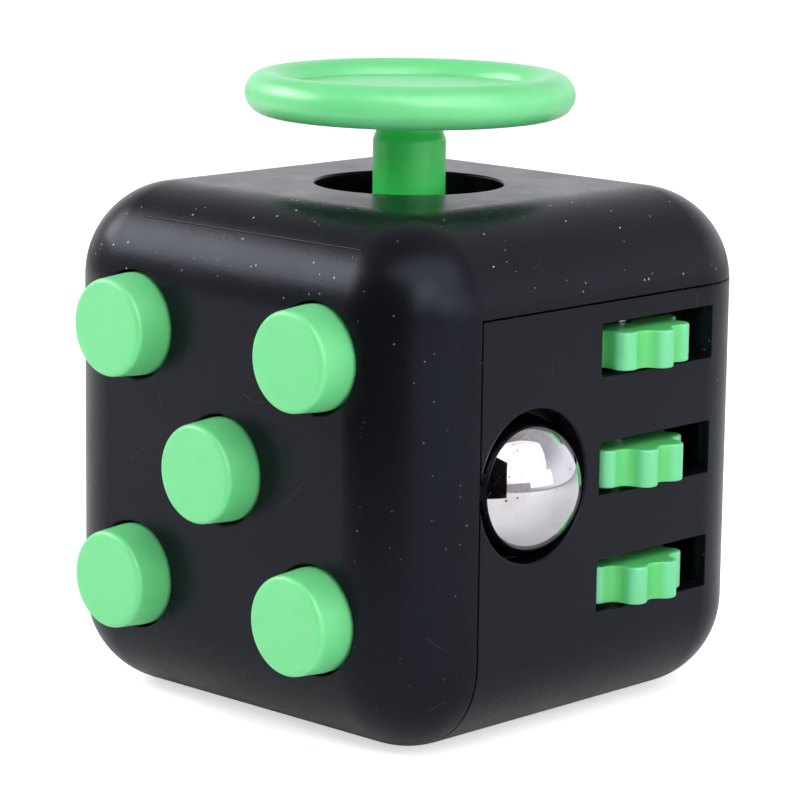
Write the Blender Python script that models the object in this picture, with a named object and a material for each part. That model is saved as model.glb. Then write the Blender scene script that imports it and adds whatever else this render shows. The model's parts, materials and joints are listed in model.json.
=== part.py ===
"""A fidget cube: a hollow plastic cube in two parts, with a different finger toy on each face.

The buttons are on -Y, the joystick on +Z, the steel ball and the gear wheels on +X, the rocker switch on -X,
the dial on +Y and the thumb hollow on -Z. The origin lies on the ground under the middle of the cube, +Z up.

Lengths are in millimetres, and MM turns them into metres. Shapes are placed from the cube's centre, which an
empty holds half a side above the ground. A turned shape is an outline of (radius, height) points about Z.
"""

import math

import bmesh
import bpy
from mathutils import Matrix, Vector

MM = 0.001
X = Vector((1, 0, 0))
Y = Vector((0, 1, 0))
Z = Vector((0, 0, 1))

# Clearances
GAP = 0.3
RUNNING_GAP = 0.25
STEP = 0.1
MERGE = 1e-4
SHARP_ANGLE = math.radians(35)

# Facets
EDGE_STEPS = 5
ROUND_STEPS = 24
SMALL_STEPS = 12
LARGE_STEPS = 2 * ROUND_STEPS
BALL_STEPS = 28
DISC_STEPS = 32
DIAL_STEPS = 40
DOME_STEPS = 16
FILLET_STEPS = 3
CAP_EDGE_STEPS = 2
RIM_STEPS = 9
BORE_STEPS = 6
COIL_STEPS = 10
COIL_SIDES = 5

# The cube and its seam
SIDE = 33.0
HALF = SIDE / 2
EDGE_RADIUS = 6.1
WALL = 1.7
INSIDE = HALF - WALL
SEAM = 10.6
SEAM_GAP = 0.2
SUNK = 0.5

# Tongues of the lower shell that reach behind the upper one
TONGUE_THICK = 1.0
TONGUE_DEPTH = 0.6
TONGUE_HALF_LENGTH = 1.8
TONGUE_ROOT = (8.3, 10.2)
TONGUE_REACH = (9.5, 12.0)
TONGUES = ((X, Z, -1.8), (Y, Z, -5.0), (Y, -X, 0.0), (-Z, -X, 0.0), (-Z, -Y, 0.0), (X, -Y, -8.6))

# Screws
SCREW_SHANK = 0.7
SCREW_HEAD = 1.3
SCREW_HEAD_HEIGHT = 0.9
SCREW_LENGTH = 3.4
SCREW_POINT = 0.5
BOSS_RADIUS = 1.5
PILOT_RADIUS = SCREW_SHANK + RUNNING_GAP

# Buttons, laid out like the five on a die
BUTTON_RADIUS = 3.27
BUTTON_FRONT_RADIUS = 3.15
BUTTON_PROUD = 2.3
BUTTON_EDGE = 0.35
BUTTON_PITCH = 8.1
BUTTON_HOLE = 3.45
BUTTON_FLANGE = 3.9
BUTTON_FLANGE_THICK = 0.8
BUTTON_COLLAR = 0.4
STUD_RADIUS = 1.0
STUD_LENGTH = 0.5
BUTTONS = {
    "top_left": (-BUTTON_PITCH, BUTTON_PITCH, "silicone"),
    "top_right": (BUTTON_PITCH, BUTTON_PITCH, "metal"),
    "centre": (0.0, 0.0, "metal"),
    "bottom_left": (-BUTTON_PITCH, -BUTTON_PITCH, "metal"),
    "bottom_right": (BUTTON_PITCH, -BUTTON_PITCH, "silicone"),
}
DOME_RADIUS = 3.0
DOME_HEIGHT = 0.8
DOME_SHEET = 0.16
SILICONE_CROWN = (1.3, 1.1, 0.4)
SILICONE_FOOT = (2.3, 2.0, 0.3)
PLATE_FRONT = -11.4
PLATE_THICK = 1.0
PLATE_HALF = 11.6
PLATE_NOTCH = (7.9, 3.1)
PLATE_SCREWS = ((0.0, 8.6), (0.0, -8.6), (-8.8, 0.0))

# Joystick
STICK_HOLE = 6.1
STICK_RADIUS = 2.35
STICK_FOOT = -1.9
PIVOT_HEIGHT = 3.5
DISC_RADIUS = 10.6
RIM_RADIUS = 1.36
RIM_HEIGHT = HALF + 5.8
DISH_DEPTH = 0.95
STICK_NECK = 2.13
STICK_NECK_ENDS = (0.9, 1.7)
STICK_FILLET = 0.36
FLANGE_RADIUS = 4.3
FLANGE = (2.7, 3.5)
SEAT = (3.8, 4.4)
SEAT_RADIUS = 5.7
RING_INNER = 3.6
RING_OUTER = 5.2
RING_HALF_HEIGHT = 1.4
PIN_RADIUS = 0.6
PIN_HOLE = PIN_RADIUS + RUNNING_GAP
YOKE_PLATE = (11.4, 12.4)
YOKE_INNER = 4.8
YOKE_OUTER = 7.6
YOKE_LEG = (6.8, 8.0)
YOKE_LEG_HALF_WIDTH = 2.0
YOKE_LEG_FOOT = 1.7
YOKE_SCREWS = ((-6.1, 6.1), (6.1, -6.1))
STICK_SPRING_RADIUS = 5.3
STICK_SPRING_WIRE = 0.3
STICK_SPRING_TURNS = 3

# Steel ball in its sprung carrier
BALL_RADIUS = 4.5
BALL = Vector((14.375, -5.87, -0.12))
BALL_HOLE = 4.78
BALL_HOLE_HEIGHT = 0.02
CARRIER_SNOUT = 4.62
CARRIER_BODY = 5.0
CARRIER_FLANGE = 5.4
CARRIER_BORE = 4.6
CARRIER_BACK = -5.0
CARRIER_FRONT = 0.55
CARRIER_LIP = 4.485
CARRIER_THROAT = (4.53, 0.3)
CARRIER_THROAT_FOOT = 0.1
CARRIER_FLANGE_THICK = 0.8
CARRIER_CHAMFER = 0.6
BALL_SPRING_RADIUS = 2.4
BALL_SPRING_WIRE = 0.25
BALL_SPRING_TURNS = 2.5
HAT_BACK = 5.6
HAT_FRONT = 11.0
HAT_THICK = 1.0
HAT_HALF_HEIGHT = 5.7
HAT_HALF_SPAN = 10.0
HAT_HALF_WIDTH = 2.2
HAT_SCREW = 8.4

# Gear wheels on one upright axle behind three slots
SLOT_Y = (0.27, 10.91)
SLOT_HEIGHT = 3.35
SLOT_PITCH = 7.49
SLOT_MIDDLE = 0.17
GEAR_AXIS = Vector((13.45, 5.05, 0.0))
GEAR_LOBES = 9
GEAR_PEAK = 4.6
GEAR_VALLEY = 3.8
GEAR_THICK = 2.4
GEAR_DROP = 0.25
GEAR_CHAMFER = 0.3
GEAR_STEPS = 6
GEAR_TURN = {"top": -0.72, "middle": -0.30, "bottom": -0.44}
AXLE_RADIUS = 0.7
AXLE_ENDS = (-11.5, 11.3)
COMB_BACK = (6.9, 7.7)
COMB_TIP = 14.1
COMB_Y = (2.55, 7.55)
COMB_ENDS = (-11.17, 11.0)
COMB_ARM = 2.0
COMB_MIDDLE_ARM = 4.3
EAR_END = 13.5
EAR_HALF_HEIGHT = 6.0
EAR_SCREW_Y = 12.1
EAR_SCREW_Z = 4.2
LEAF_THICK = 0.25
LEAF_BACK = 8.0
LEAF_TIP = 13.6
LEAF_Y = (7.9, 10.15)
LEAF_HALF_HEIGHT = 9.0
LEAF_BLADE = 2.0
LEAF_SPINE = 1.0

# Rocker switch, drawn level: at rest its lower end is pressed in
ROCKER_PIVOT = Vector((-HALF + 2.9, 0, 0))
ROCKER_TILT = math.radians(12)
ROCKER_SINK = 0.1
ROCKER_END_RADIUS = 7.6
ROCKER_HALF_WIDTH = 4.4
ROCKER_END_ANGLE = math.radians(86)
ROCKER_BACK = 1.3
ROCKER_BACK_HALF = 2.6
ROCKER_TUBE = 1.9
ROCKER_TUBE_END = 5.0
ROCKER_BORE = (1.25, 1.4)
ROCKER_PIN_RADIUS = 0.75
ROCKER_PIN_HALF = 6.5
ROCKER_OPENING = (4.7, 7.8)
PLUNGER_RADIUS = 1.0
PLUNGER = (3.7, 5.9)
ROCKER_SPRING = (1.65, 3.4)
ROCKER_SPRING_RADIUS = 0.8
ROCKER_SPRING_WIRE = 0.18
ROCKER_SPRING_TURNS = 3.5
FRAME_PLATE = (-11.6, -10.6)
FRAME_HALF = (6.2, 11.0)
FRAME_WINDOW = (5.0, 8.4)
FRAME_SCREW = 9.6
CHEEK_FRONT = -14.4
CHEEK_HALF_HEIGHT = 2.0
CAM_PLATE = (-6.8, -5.9)
CAM_RIDGE = 0.6
CAM_RIDGE_HALF = 1.4

# Dial
DIAL_RADIUS = 8.5
DIAL_THICK = 1.7
DIAL_EDGE = 0.5
DIAL_HUB = 2.5
DIAL_HUB_END = 13.9
DIAL_DIMPLE = (4.9, 2.4, 0.8)
WASHER = (1.2, 4.6, 12.9, 13.6)
DIAL_SCREW_HEAD = 2.0
DIAL_SCREW_HOLE_END = 17.0

# Thumb hollow
HOLLOW_RADIUS = 8.8
HOLLOW_DEPTH = 1.8
HOLLOW_PAD_RADIUS = 9.9
HOLLOW_PAD = 1.7

# Looks: colour, metallic, roughness
BLACK = ((0.018, 0.018, 0.022), 0.0, 0.42)
INNER_BLACK = ((0.03, 0.03, 0.032), 0.0, 0.55)
GREEN = ((0.23, 0.66, 0.29), 0.0, 0.38)
STEEL = ((0.72, 0.72, 0.74), 1.0, 0.12)
WIRE = ((0.55, 0.55, 0.57), 1.0, 0.3)
ZINC = ((0.62, 0.62, 0.6), 1.0, 0.35)
RUBBER = ((0.75, 0.75, 0.73), 0.0, 0.6)


def clear_scene():
    for obj in list(bpy.data.objects):
        bpy.data.objects.remove(obj)


def make_centre():
    centre = bpy.data.objects.new("cube_centre", None)
    centre.location = Z * HALF * MM
    bpy.context.scene.collection.objects.link(centre)
    return centre


# Shapes, each a bmesh in millimetres


def arc(centre, radius, start, end, steps):
    """Points on a circle about centre, from the start angle to the end angle, in radians."""
    points = []
    for step in range(steps + 1):
        angle = start + (end - start) * step / steps
        points.append((centre[0] + radius * math.cos(angle), centre[1] + radius * math.sin(angle)))
    return points


def turned(outline, steps=ROUND_STEPS):
    """The outline turned about Z. It either starts and ends on the axis or closes on its first point."""
    bm = bmesh.new()
    verts = [bm.verts.new((radius, 0, height)) for radius, height in outline]
    for first, second in zip(verts, verts[1:]):
        bm.edges.new((first, second))
    if outline[0][0] > 0:
        bm.edges.new((verts[-1], verts[0]))
    geometry = bm.verts[:] + bm.edges[:]
    bmesh.ops.spin(bm, geom=geometry, cent=(0, 0, 0), axis=Z, angle=math.tau, steps=steps, use_merge=True)
    bmesh.ops.remove_doubles(bm, verts=bm.verts, dist=MERGE)
    bmesh.ops.dissolve_verts(bm, verts=[vert for vert in bm.verts if in_flat_cap(vert)])
    return bm


def in_flat_cap(vert):
    """Whether a vertex on the axis only joins the triangles of a flat end."""
    level = all(abs(edge.other_vert(vert).co.z - vert.co.z) < MERGE for edge in vert.link_edges)
    return level and vert.co.xy.length < MERGE


def rod(radius, low, high, steps=SMALL_STEPS):
    return turned([(0, low), (radius, low), (radius, high), (0, high)], steps)


def tube(inner, outer, low, high, steps=ROUND_STEPS):
    return turned([(inner, low), (outer, low), (outer, high), (inner, high)], steps)


def block(low, high):
    """A box between two opposite corners, given in any order."""
    low, high = Vector(low), Vector(high)
    middle = (low + high) / 2
    size = high - low
    bm = bmesh.new()
    matrix = Matrix.Translation(middle) @ Matrix.Diagonal((abs(size.x), abs(size.y), abs(size.z), 1))
    bmesh.ops.create_cube(bm, size=1, matrix=matrix)
    return bm


def rounded_cube(half, radius, steps=EDGE_STEPS):
    bm = bmesh.new()
    bmesh.ops.create_cube(bm, size=2 * half)
    bmesh.ops.bevel(bm, geom=bm.edges[:], offset=radius, segments=steps, profile=0.5, affect="EDGES")
    return bm


def prism(outline, low, high, along=Y):
    """The outline, a list of points in the plane across along, extruded from low to high."""
    bm = bmesh.new()
    first, second = [axis for axis in (X, Y, Z) if axis != along]
    verts = [bm.verts.new(along * low + first * a + second * b) for a, b in outline]
    face = bm.faces.new(verts)
    extruded = bmesh.ops.extrude_face_region(bm, geom=[face])
    far_verts = [item for item in extruded["geom"] if isinstance(item, bmesh.types.BMVert)]
    bmesh.ops.translate(bm, verts=far_verts, vec=along * (high - low))
    return bm


def coil(radius, wire, low, high, turns):
    """A helical spring about Z, with its end turns' wire just inside low and high."""
    bm = bmesh.new()
    steps = round(turns * COIL_STEPS)
    rings = []
    for step in range(steps + 1):
        angle = math.tau * turns * step / steps
        height = low + wire + (high - low - 2 * wire) * step / steps
        outward = Vector((math.cos(angle), math.sin(angle), 0))
        ring = []
        for side in range(COIL_SIDES):
            around = math.tau * side / COIL_SIDES
            offset = outward * (radius + wire * math.cos(around)) + Z * (height + wire * math.sin(around))
            ring.append(bm.verts.new(offset))
        rings.append(ring)
    for low_ring, high_ring in zip(rings, rings[1:]):
        for side in range(COIL_SIDES):
            after = (side + 1) % COIL_SIDES
            bm.faces.new((low_ring[side], low_ring[after], high_ring[after], high_ring[side]))
    bm.faces.new(rings[0])
    bm.faces.new(rings[-1])
    return bm


# Objects


def make_material(name, look):
    colour, metallic, roughness = look
    material = bpy.data.materials.new(name)
    material.use_nodes = True
    shader = material.node_tree.nodes["Principled BSDF"]
    shader.inputs["Base Color"].default_value = (*colour, 1)
    shader.inputs["Metallic"].default_value = metallic
    shader.inputs["Roughness"].default_value = roughness
    return material


def smooth(mesh):
    mesh.shade_smooth()
    mesh.set_sharp_from_angle(angle=SHARP_ANGLE)


def make_object(name, bm, at, axis, parent):
    """An object whose local Z lies along axis, with the bmesh turned into metres."""
    bmesh.ops.recalc_face_normals(bm, faces=bm.faces)
    bmesh.ops.scale(bm, vec=(MM, MM, MM), verts=bm.verts)
    mesh = bpy.data.meshes.new(name)
    bm.to_mesh(mesh)
    bm.free()
    smooth(mesh)
    obj = bpy.data.objects.new(name, mesh)
    obj.parent = parent
    obj.location = Vector(at) * MM
    obj.rotation_euler = Z.rotation_difference(axis).to_euler()
    bpy.context.scene.collection.objects.link(obj)
    return obj


def node(name, bm, look, at=(0, 0, 0), axis=Z, parent=None):
    obj = make_object(name, bm, at, axis, parent or CENTRE)
    obj.data.materials.append(make_material(name, look))
    return obj


def tool(bm, at=(0, 0, 0), axis=Z, parent=None):
    """A shape that reshape() adds to a node or cuts from it."""
    obj = make_object("tool", bm, at, axis, parent or CENTRE)
    obj.hide_render = True
    obj.display_type = "WIRE"
    return obj


def reshape(target, operation, tools):
    """Adds the tools to the target (UNION), cuts them from it (DIFFERENCE) or keeps only what lies inside
    them (INTERSECT). The tools are removed."""
    for item in tools:
        modifier = target.modifiers.new("shape", "BOOLEAN")
        modifier.operation = operation
        modifier.solver = "EXACT"
        modifier.object = item
    bpy.context.view_layer.update()
    shaped = target.evaluated_get(bpy.context.evaluated_depsgraph_get())
    mesh = bpy.data.meshes.new_from_object(shaped)
    target.modifiers.clear()
    target.data = mesh
    smooth(mesh)
    for item in tools:
        bpy.data.objects.remove(item)


def screw(name, at, into):
    """A screw whose head rests above at, pointing along into. at lies on the face that the head holds."""
    under = GAP
    outline = [
        (0, under + SCREW_HEAD_HEIGHT),
        (SCREW_HEAD, under + SCREW_HEAD_HEIGHT),
        (SCREW_HEAD, under),
        (SCREW_SHANK, under),
        (SCREW_SHANK, under + SCREW_POINT - SCREW_LENGTH),
        (0, under - SCREW_LENGTH),
    ]
    node(name, turned(outline, SMALL_STEPS), ZINC, at, -into)


def boss(at, start, end, axis):
    """A post along axis from start to end, which holds a screw's thread."""
    return tool(rod(BOSS_RADIUS, start, end, SMALL_STEPS), at, axis)


def pilot(at, start, end, axis):
    return tool(rod(PILOT_RADIUS, start, end, SMALL_STEPS), at, axis)


# The two shells


def seam_block(offset):
    """The corner of space that holds the lower shell: the right, the back and the bottom of the cube."""
    far = SIDE
    return tool(block((-offset, -offset, -far), (far, far, offset)))


def tongue_tools(wall, over, along_place):
    """A root on the lower shell's wall and a tongue from it that passes the seam behind the upper shell."""
    along = Vector([1 - abs(a) - abs(b) for a, b in zip(wall, over)])
    outer = INSIDE - TONGUE_DEPTH
    inner = outer - TONGUE_THICK
    first = along * (along_place - TONGUE_HALF_LENGTH)
    last = along * (along_place + TONGUE_HALF_LENGTH)
    root = block(
        wall * inner + over * TONGUE_ROOT[0] + first,
        wall * (INSIDE + SUNK) + over * TONGUE_ROOT[1] + last,
    )
    tongue = block(
        wall * inner + over * TONGUE_REACH[0] + first,
        wall * outer + over * TONGUE_REACH[1] + last,
    )
    return tool(root), tool(tongue)


def make_upper_shell():
    """The front, top and left walls, with the rounded edges that they share with the other three."""
    shell = node("upper_shell", rounded_cube(HALF, EDGE_RADIUS), BLACK)
    inner = tool(rounded_cube(INSIDE, EDGE_RADIUS - WALL))
    reshape(shell, "DIFFERENCE", [seam_block(SEAM + SEAM_GAP / 2)])
    reshape(shell, "DIFFERENCE", [inner])
    sunk = INSIDE + SUNK
    collar = rod(BUTTON_FLANGE, INSIDE - BUTTON_COLLAR, sunk, ROUND_STEPS)
    added = []
    cuts = []
    for x, z, _ in BUTTONS.values():
        added.append(tool(collar.copy(), (x, 0, z), -Y))
        cuts.append(tool(rod(BUTTON_HOLE, INSIDE - WALL, SIDE, ROUND_STEPS), (x, 0, z), -Y))
    collar.free()
    for x, z in PLATE_SCREWS:
        added.append(boss((x, 0, z), -PLATE_FRONT + GAP, sunk, -Y))
        cuts.append(pilot((x, 0, z), 0, INSIDE, -Y))
    for x, y in YOKE_SCREWS:
        added.append(boss((x, y, 0), YOKE_PLATE[1] + GAP, sunk, Z))
        cuts.append(pilot((x, y, 0), 0, INSIDE, Z))
    for z in (FRAME_SCREW, -FRAME_SCREW):
        added.append(boss((0, 0, z), -FRAME_PLATE[0] + GAP, sunk, -X))
        cuts.append(pilot((0, 0, z), 0, INSIDE, -X))
    cuts.append(tool(rod(STICK_HOLE, INSIDE - WALL, SIDE, LARGE_STEPS)))
    half_y, half_z = ROCKER_OPENING
    cuts.append(tool(block((-SIDE, -half_y, -half_z), (-INSIDE + SUNK, half_y, half_z))))
    reshape(shell, "UNION", added)
    reshape(shell, "DIFFERENCE", cuts)


def slot_heights():
    return {
        "top": SLOT_MIDDLE + SLOT_PITCH,
        "middle": SLOT_MIDDLE,
        "bottom": SLOT_MIDDLE - SLOT_PITCH,
    }


def hollow_tool():
    """A shallow bowl that opens downwards."""
    sphere = (HOLLOW_RADIUS**2 + HOLLOW_DEPTH**2) / (2 * HOLLOW_DEPTH)
    centre = (0, -HALF + HOLLOW_DEPTH - sphere)
    rim = math.acos(HOLLOW_RADIUS / sphere)
    curve = arc(centre, sphere, math.pi / 2, rim, EDGE_STEPS)
    curve[0] = (0, curve[0][1])
    below = -HALF - WALL
    return tool(turned(curve + [(HOLLOW_RADIUS, below), (0, below)], ROUND_STEPS))


def make_lower_shell():
    """The right, back and bottom walls."""
    shell = node("lower_shell", rounded_cube(HALF, EDGE_RADIUS), BLACK)
    inner = tool(rounded_cube(INSIDE, EDGE_RADIUS - WALL))
    kept = seam_block(SEAM - SEAM_GAP / 2)
    reshape(shell, "INTERSECT", [kept])
    reshape(shell, "DIFFERENCE", [inner])
    sunk = INSIDE + SUNK
    added = [tool(rod(HOLLOW_PAD_RADIUS, INSIDE - HOLLOW_PAD, sunk, ROUND_STEPS), axis=-Z)]
    for wall, over, place in TONGUES:
        added.extend(tongue_tools(wall, over, place))
    cuts = [hollow_tool()]
    for side in (HAT_SCREW, -HAT_SCREW):
        added.append(boss((0, BALL.y, BALL.z + side), HAT_FRONT + HAT_THICK + GAP, sunk, X))
        cuts.append(pilot((0, BALL.y, BALL.z + side), 0, INSIDE, X))
    for z in (EAR_SCREW_Z, -EAR_SCREW_Z):
        added.append(boss((0, EAR_SCREW_Y, z), COMB_BACK[1] + GAP, sunk, X))
        cuts.append(pilot((0, EAR_SCREW_Y, z), 0, COMB_BACK[1] + SCREW_LENGTH, X))
    cuts.append(tool(rod(BALL_HOLE, 0, SIDE, LARGE_STEPS), (HAT_FRONT, BALL.y, BALL_HOLE_HEIGHT), X))
    cuts.append(tool(rod(DIAL_HUB + RUNNING_GAP, 0, SIDE, ROUND_STEPS), axis=Y))
    for z in slot_heights().values():
        low = (INSIDE - SUNK, SLOT_Y[0], z - SLOT_HEIGHT / 2)
        high = (SIDE, SLOT_Y[1], z + SLOT_HEIGHT / 2)
        cuts.append(tool(block(low, high)))
    reshape(shell, "UNION", added)
    reshape(shell, "DIFFERENCE", cuts)


# Buttons


def make_button_cap(name, x, z):
    """A slightly tapered cap, with a flange behind the wall and a stud that presses its dome."""
    front = HALF + BUTTON_PROUD
    edge = (BUTTON_FRONT_RADIUS - BUTTON_EDGE, front - BUTTON_EDGE)
    flange_front = INSIDE - BUTTON_COLLAR - GAP
    flange_back = flange_front - BUTTON_FLANGE_THICK
    outline = [
        (0, front),
        *arc(edge, BUTTON_EDGE, math.pi / 2, 0, CAP_EDGE_STEPS),
        (BUTTON_RADIUS, HALF),
        (BUTTON_RADIUS, flange_front),
        (BUTTON_FLANGE, flange_front),
        (BUTTON_FLANGE, flange_back),
        (STUD_RADIUS, flange_back),
        (STUD_RADIUS, flange_back - STUD_LENGTH),
        (0, flange_back - STUD_LENGTH),
    ]
    node("button_" + name, turned(outline), GREEN, (x, 0, z), -Y)


def metal_dome():
    """A thin pressed disc, domed towards the button."""
    top = DOME_HEIGHT
    sphere = (DOME_RADIUS**2 + top**2) / (2 * top)
    rim = math.acos(DOME_RADIUS / sphere)
    centre = (0, top - sphere)
    outer = arc(centre, sphere, math.pi / 2, rim, FILLET_STEPS)
    inner = arc(centre, sphere - DOME_SHEET, rim, math.pi / 2, FILLET_STEPS)
    outer[0] = (0, outer[0][1])
    inner[-1] = (0, inner[-1][1])
    return outer + inner


def silicone_dome():
    """A soft cone with a solid crown on a flat foot."""
    crown_outer, crown_inner, crown_under = SILICONE_CROWN
    cone_outer, cone_inner, foot_thick = SILICONE_FOOT
    return [
        (0, DOME_HEIGHT),
        (crown_outer, DOME_HEIGHT),
        (cone_outer, foot_thick),
        (DOME_RADIUS, foot_thick),
        (DOME_RADIUS, 0),
        (cone_inner, 0),
        (crown_inner, crown_under),
        (0, crown_under),
    ]


def make_buttons():
    for name, (x, z, kind) in BUTTONS.items():
        make_button_cap(name, x, z)
        outline = metal_dome() if kind == "metal" else silicone_dome()
        look = STEEL if kind == "metal" else RUBBER
        node("dome_" + name, turned(outline, DOME_STEPS), look, (x, PLATE_FRONT - GAP, z), -Y)
    low = (-PLATE_HALF, PLATE_FRONT, -PLATE_HALF)
    high = (PLATE_HALF, PLATE_FRONT + PLATE_THICK, PLATE_HALF)
    plate = node("button_plate", block(low, high), INNER_BLACK)
    notch_x, notch_half = PLATE_NOTCH
    cuts = [tool(block((notch_x, -SIDE, BALL.z - notch_half), (SIDE, 0, BALL.z + notch_half)))]
    for number, (x, z) in enumerate(PLATE_SCREWS, start=1):
        cuts.append(pilot((x, 0, z), 0, SIDE, -Y))
        screw(f"button_plate_screw_{number}", (x, PLATE_FRONT + PLATE_THICK, z), -Y)
    reshape(plate, "DIFFERENCE", cuts)


# Joystick


def stick_outline():
    """The disc with its round rim and dish, and the stem below it, from the pivot's height."""
    rim_centre = (DISC_RADIUS - RIM_RADIUS, RIM_HEIGHT - PIVOT_HEIGHT)
    underside = rim_centre[1] - RIM_RADIUS
    floor = rim_centre[1] + RIM_RADIUS - DISH_DEPTH
    floor_angle = math.pi - math.asin((floor - rim_centre[1]) / RIM_RADIUS)
    fillet_centre = (STICK_NECK + STICK_FILLET, underside - STICK_FILLET)
    return [
        (0, STICK_FOOT),
        (STICK_RADIUS, STICK_FOOT),
        (STICK_RADIUS, FLANGE[0]),
        (FLANGE_RADIUS, FLANGE[0]),
        (FLANGE_RADIUS, FLANGE[1]),
        (STICK_RADIUS, FLANGE[1]),
        (STICK_RADIUS, underside - STICK_NECK_ENDS[1]),
        (STICK_NECK, underside - STICK_NECK_ENDS[0]),
        *arc(fillet_centre, STICK_FILLET, math.pi, math.pi / 2, FILLET_STEPS),
        *arc(rim_centre, RIM_RADIUS, -math.pi / 2, floor_angle, RIM_STEPS),
        (0, floor),
    ]


def make_joystick():
    pivot = Z * PIVOT_HEIGHT
    stick = node("joystick", turned(stick_outline(), DISC_STEPS), GREEN, pivot)
    reshape(stick, "DIFFERENCE", [tool(rod(PIN_HOLE, -SIDE, SIDE), pivot, X)])
    node("spring_seat", tube(STICK_RADIUS + GAP, SEAT_RADIUS, *SEAT), INNER_BLACK, pivot)
    ring_body = tube(RING_INNER, RING_OUTER, -RING_HALF_HEIGHT, RING_HALF_HEIGHT)
    ring = node("gimbal_ring", ring_body, INNER_BLACK, pivot)
    holes = [tool(rod(PIN_HOLE, -SIDE, SIDE), pivot, axis) for axis in (X, Y)]
    reshape(ring, "DIFFERENCE", holes)
    node("stick_pin", rod(PIN_RADIUS, -RING_OUTER + GAP, RING_OUTER - GAP), STEEL, pivot, X)
    for name, side in (("front", -Y), ("back", Y)):
        node(f"gimbal_pin_{name}", rod(PIN_RADIUS, RING_INNER + GAP, YOKE_LEG[1] + GAP), STEEL, pivot, side)
    spring_low = pivot.z + SEAT[1] + GAP
    spring_high = YOKE_PLATE[0] - GAP
    spring = coil(STICK_SPRING_RADIUS, STICK_SPRING_WIRE, spring_low, spring_high, STICK_SPRING_TURNS)
    node("joystick_spring", spring, WIRE)
    make_yoke(pivot)


def make_yoke(pivot):
    """A ring plate under the top wall, with two screw tabs and two legs that hold the gimbal's pins."""
    yoke = node("joystick_yoke", rod(YOKE_OUTER, *YOKE_PLATE, ROUND_STEPS), INNER_BLACK)
    added = []
    cuts = [tool(rod(YOKE_INNER, -SIDE, SIDE, ROUND_STEPS))]
    width = YOKE_LEG_HALF_WIDTH
    for side in (-1, 1):
        low = (-width, side * YOKE_LEG[0], YOKE_LEG_FOOT)
        high = (width, side * YOKE_LEG[1], YOKE_PLATE[1] - STEP)
        added.append(tool(block(low, high)))
    cuts.append(tool(rod(PIN_HOLE, -SIDE, SIDE), pivot, Y))
    for number, (x, y) in enumerate(YOKE_SCREWS, start=1):
        tab = rod(BOSS_RADIUS + GAP, YOKE_PLATE[0] + STEP, YOKE_PLATE[1] - STEP)
        added.append(tool(tab, (x, y, 0)))
        cuts.append(pilot((x, y, 0), 0, SIDE, Z))
        screw(f"yoke_screw_{number}", (x, y, YOKE_PLATE[0]), Z)
    reshape(yoke, "UNION", added)
    reshape(yoke, "DIFFERENCE", cuts)


# Steel ball


def carrier_outline():
    """A cup round the ball whose lip is narrower than the ball, with a flange behind the wall."""
    flange_front = INSIDE - GAP - BALL.x
    flange_back = flange_front - CARRIER_FLANGE_THICK
    start = math.asin(CARRIER_THROAT_FOOT / CARRIER_BORE)
    bore = arc((0, 0), CARRIER_BORE, start, -math.pi / 2, BORE_STEPS)
    bore[-1] = (0, -CARRIER_BORE)
    return [
        (0, CARRIER_BACK),
        (CARRIER_BODY - CARRIER_CHAMFER, CARRIER_BACK),
        (CARRIER_BODY, CARRIER_BACK + CARRIER_CHAMFER),
        (CARRIER_BODY, flange_back),
        (CARRIER_FLANGE, flange_back),
        (CARRIER_FLANGE, flange_front),
        (CARRIER_SNOUT, flange_front),
        (CARRIER_SNOUT, CARRIER_FRONT),
        (CARRIER_LIP, CARRIER_FRONT),
        CARRIER_THROAT,
        *bore,
    ]


def make_ball():
    ball = arc((0, 0), BALL_RADIUS, -math.pi / 2, math.pi / 2, BALL_STEPS // 2)
    ball[0] = (0, -BALL_RADIUS)
    ball[-1] = (0, BALL_RADIUS)
    node("steel_ball", turned(ball, BALL_STEPS), STEEL, BALL)
    node("ball_carrier", turned(carrier_outline(), BALL_STEPS), INNER_BLACK, BALL, X)
    spring_low = HAT_BACK + HAT_THICK + GAP
    spring_high = BALL.x + CARRIER_BACK - GAP
    spring = coil(BALL_SPRING_RADIUS, BALL_SPRING_WIRE, spring_low, spring_high, BALL_SPRING_TURNS)
    node("ball_spring", spring, WIRE, (0, BALL.y, BALL.z), X)
    make_ball_bracket()


def make_ball_bracket():
    """A hat-shaped strap behind the carrier, screwed to the wall above and below it."""
    outer = HAT_HALF_HEIGHT + HAT_THICK
    front = HAT_FRONT + HAT_THICK
    half = [
        (HAT_BACK, outer),
        (HAT_FRONT, outer),
        (HAT_FRONT, HAT_HALF_SPAN),
        (front, HAT_HALF_SPAN),
        (front, HAT_HALF_HEIGHT),
        (HAT_BACK + HAT_THICK, HAT_HALF_HEIGHT),
    ]
    outline = half + [(x, -z) for x, z in reversed(half)]
    strap = prism(outline, -HAT_HALF_WIDTH, HAT_HALF_WIDTH)
    bracket = node("ball_bracket", strap, INNER_BLACK, (0, BALL.y, BALL.z))
    cuts = []
    for number, side in ((1, HAT_SCREW), (2, -HAT_SCREW)):
        place = (HAT_FRONT, BALL.y, BALL.z + side)
        cuts.append(pilot(place, -HAT_THICK, 2 * HAT_THICK, X))
        screw(f"ball_bracket_screw_{number}", place, X)
    reshape(bracket, "DIFFERENCE", cuts)


# Gear wheels


def gear_outline(inset):
    """Rounded lobes round a circle, each a cosine wave, drawn in by inset."""
    points = []
    count = GEAR_LOBES * GEAR_STEPS
    middle = (GEAR_PEAK + GEAR_VALLEY) / 2 - inset
    swing = (GEAR_PEAK - GEAR_VALLEY) / 2
    for step in range(count):
        angle = math.tau * step / count
        radius = middle + swing * math.cos(GEAR_LOBES * angle)
        points.append((radius * math.cos(angle), radius * math.sin(angle)))
    return points


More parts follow.
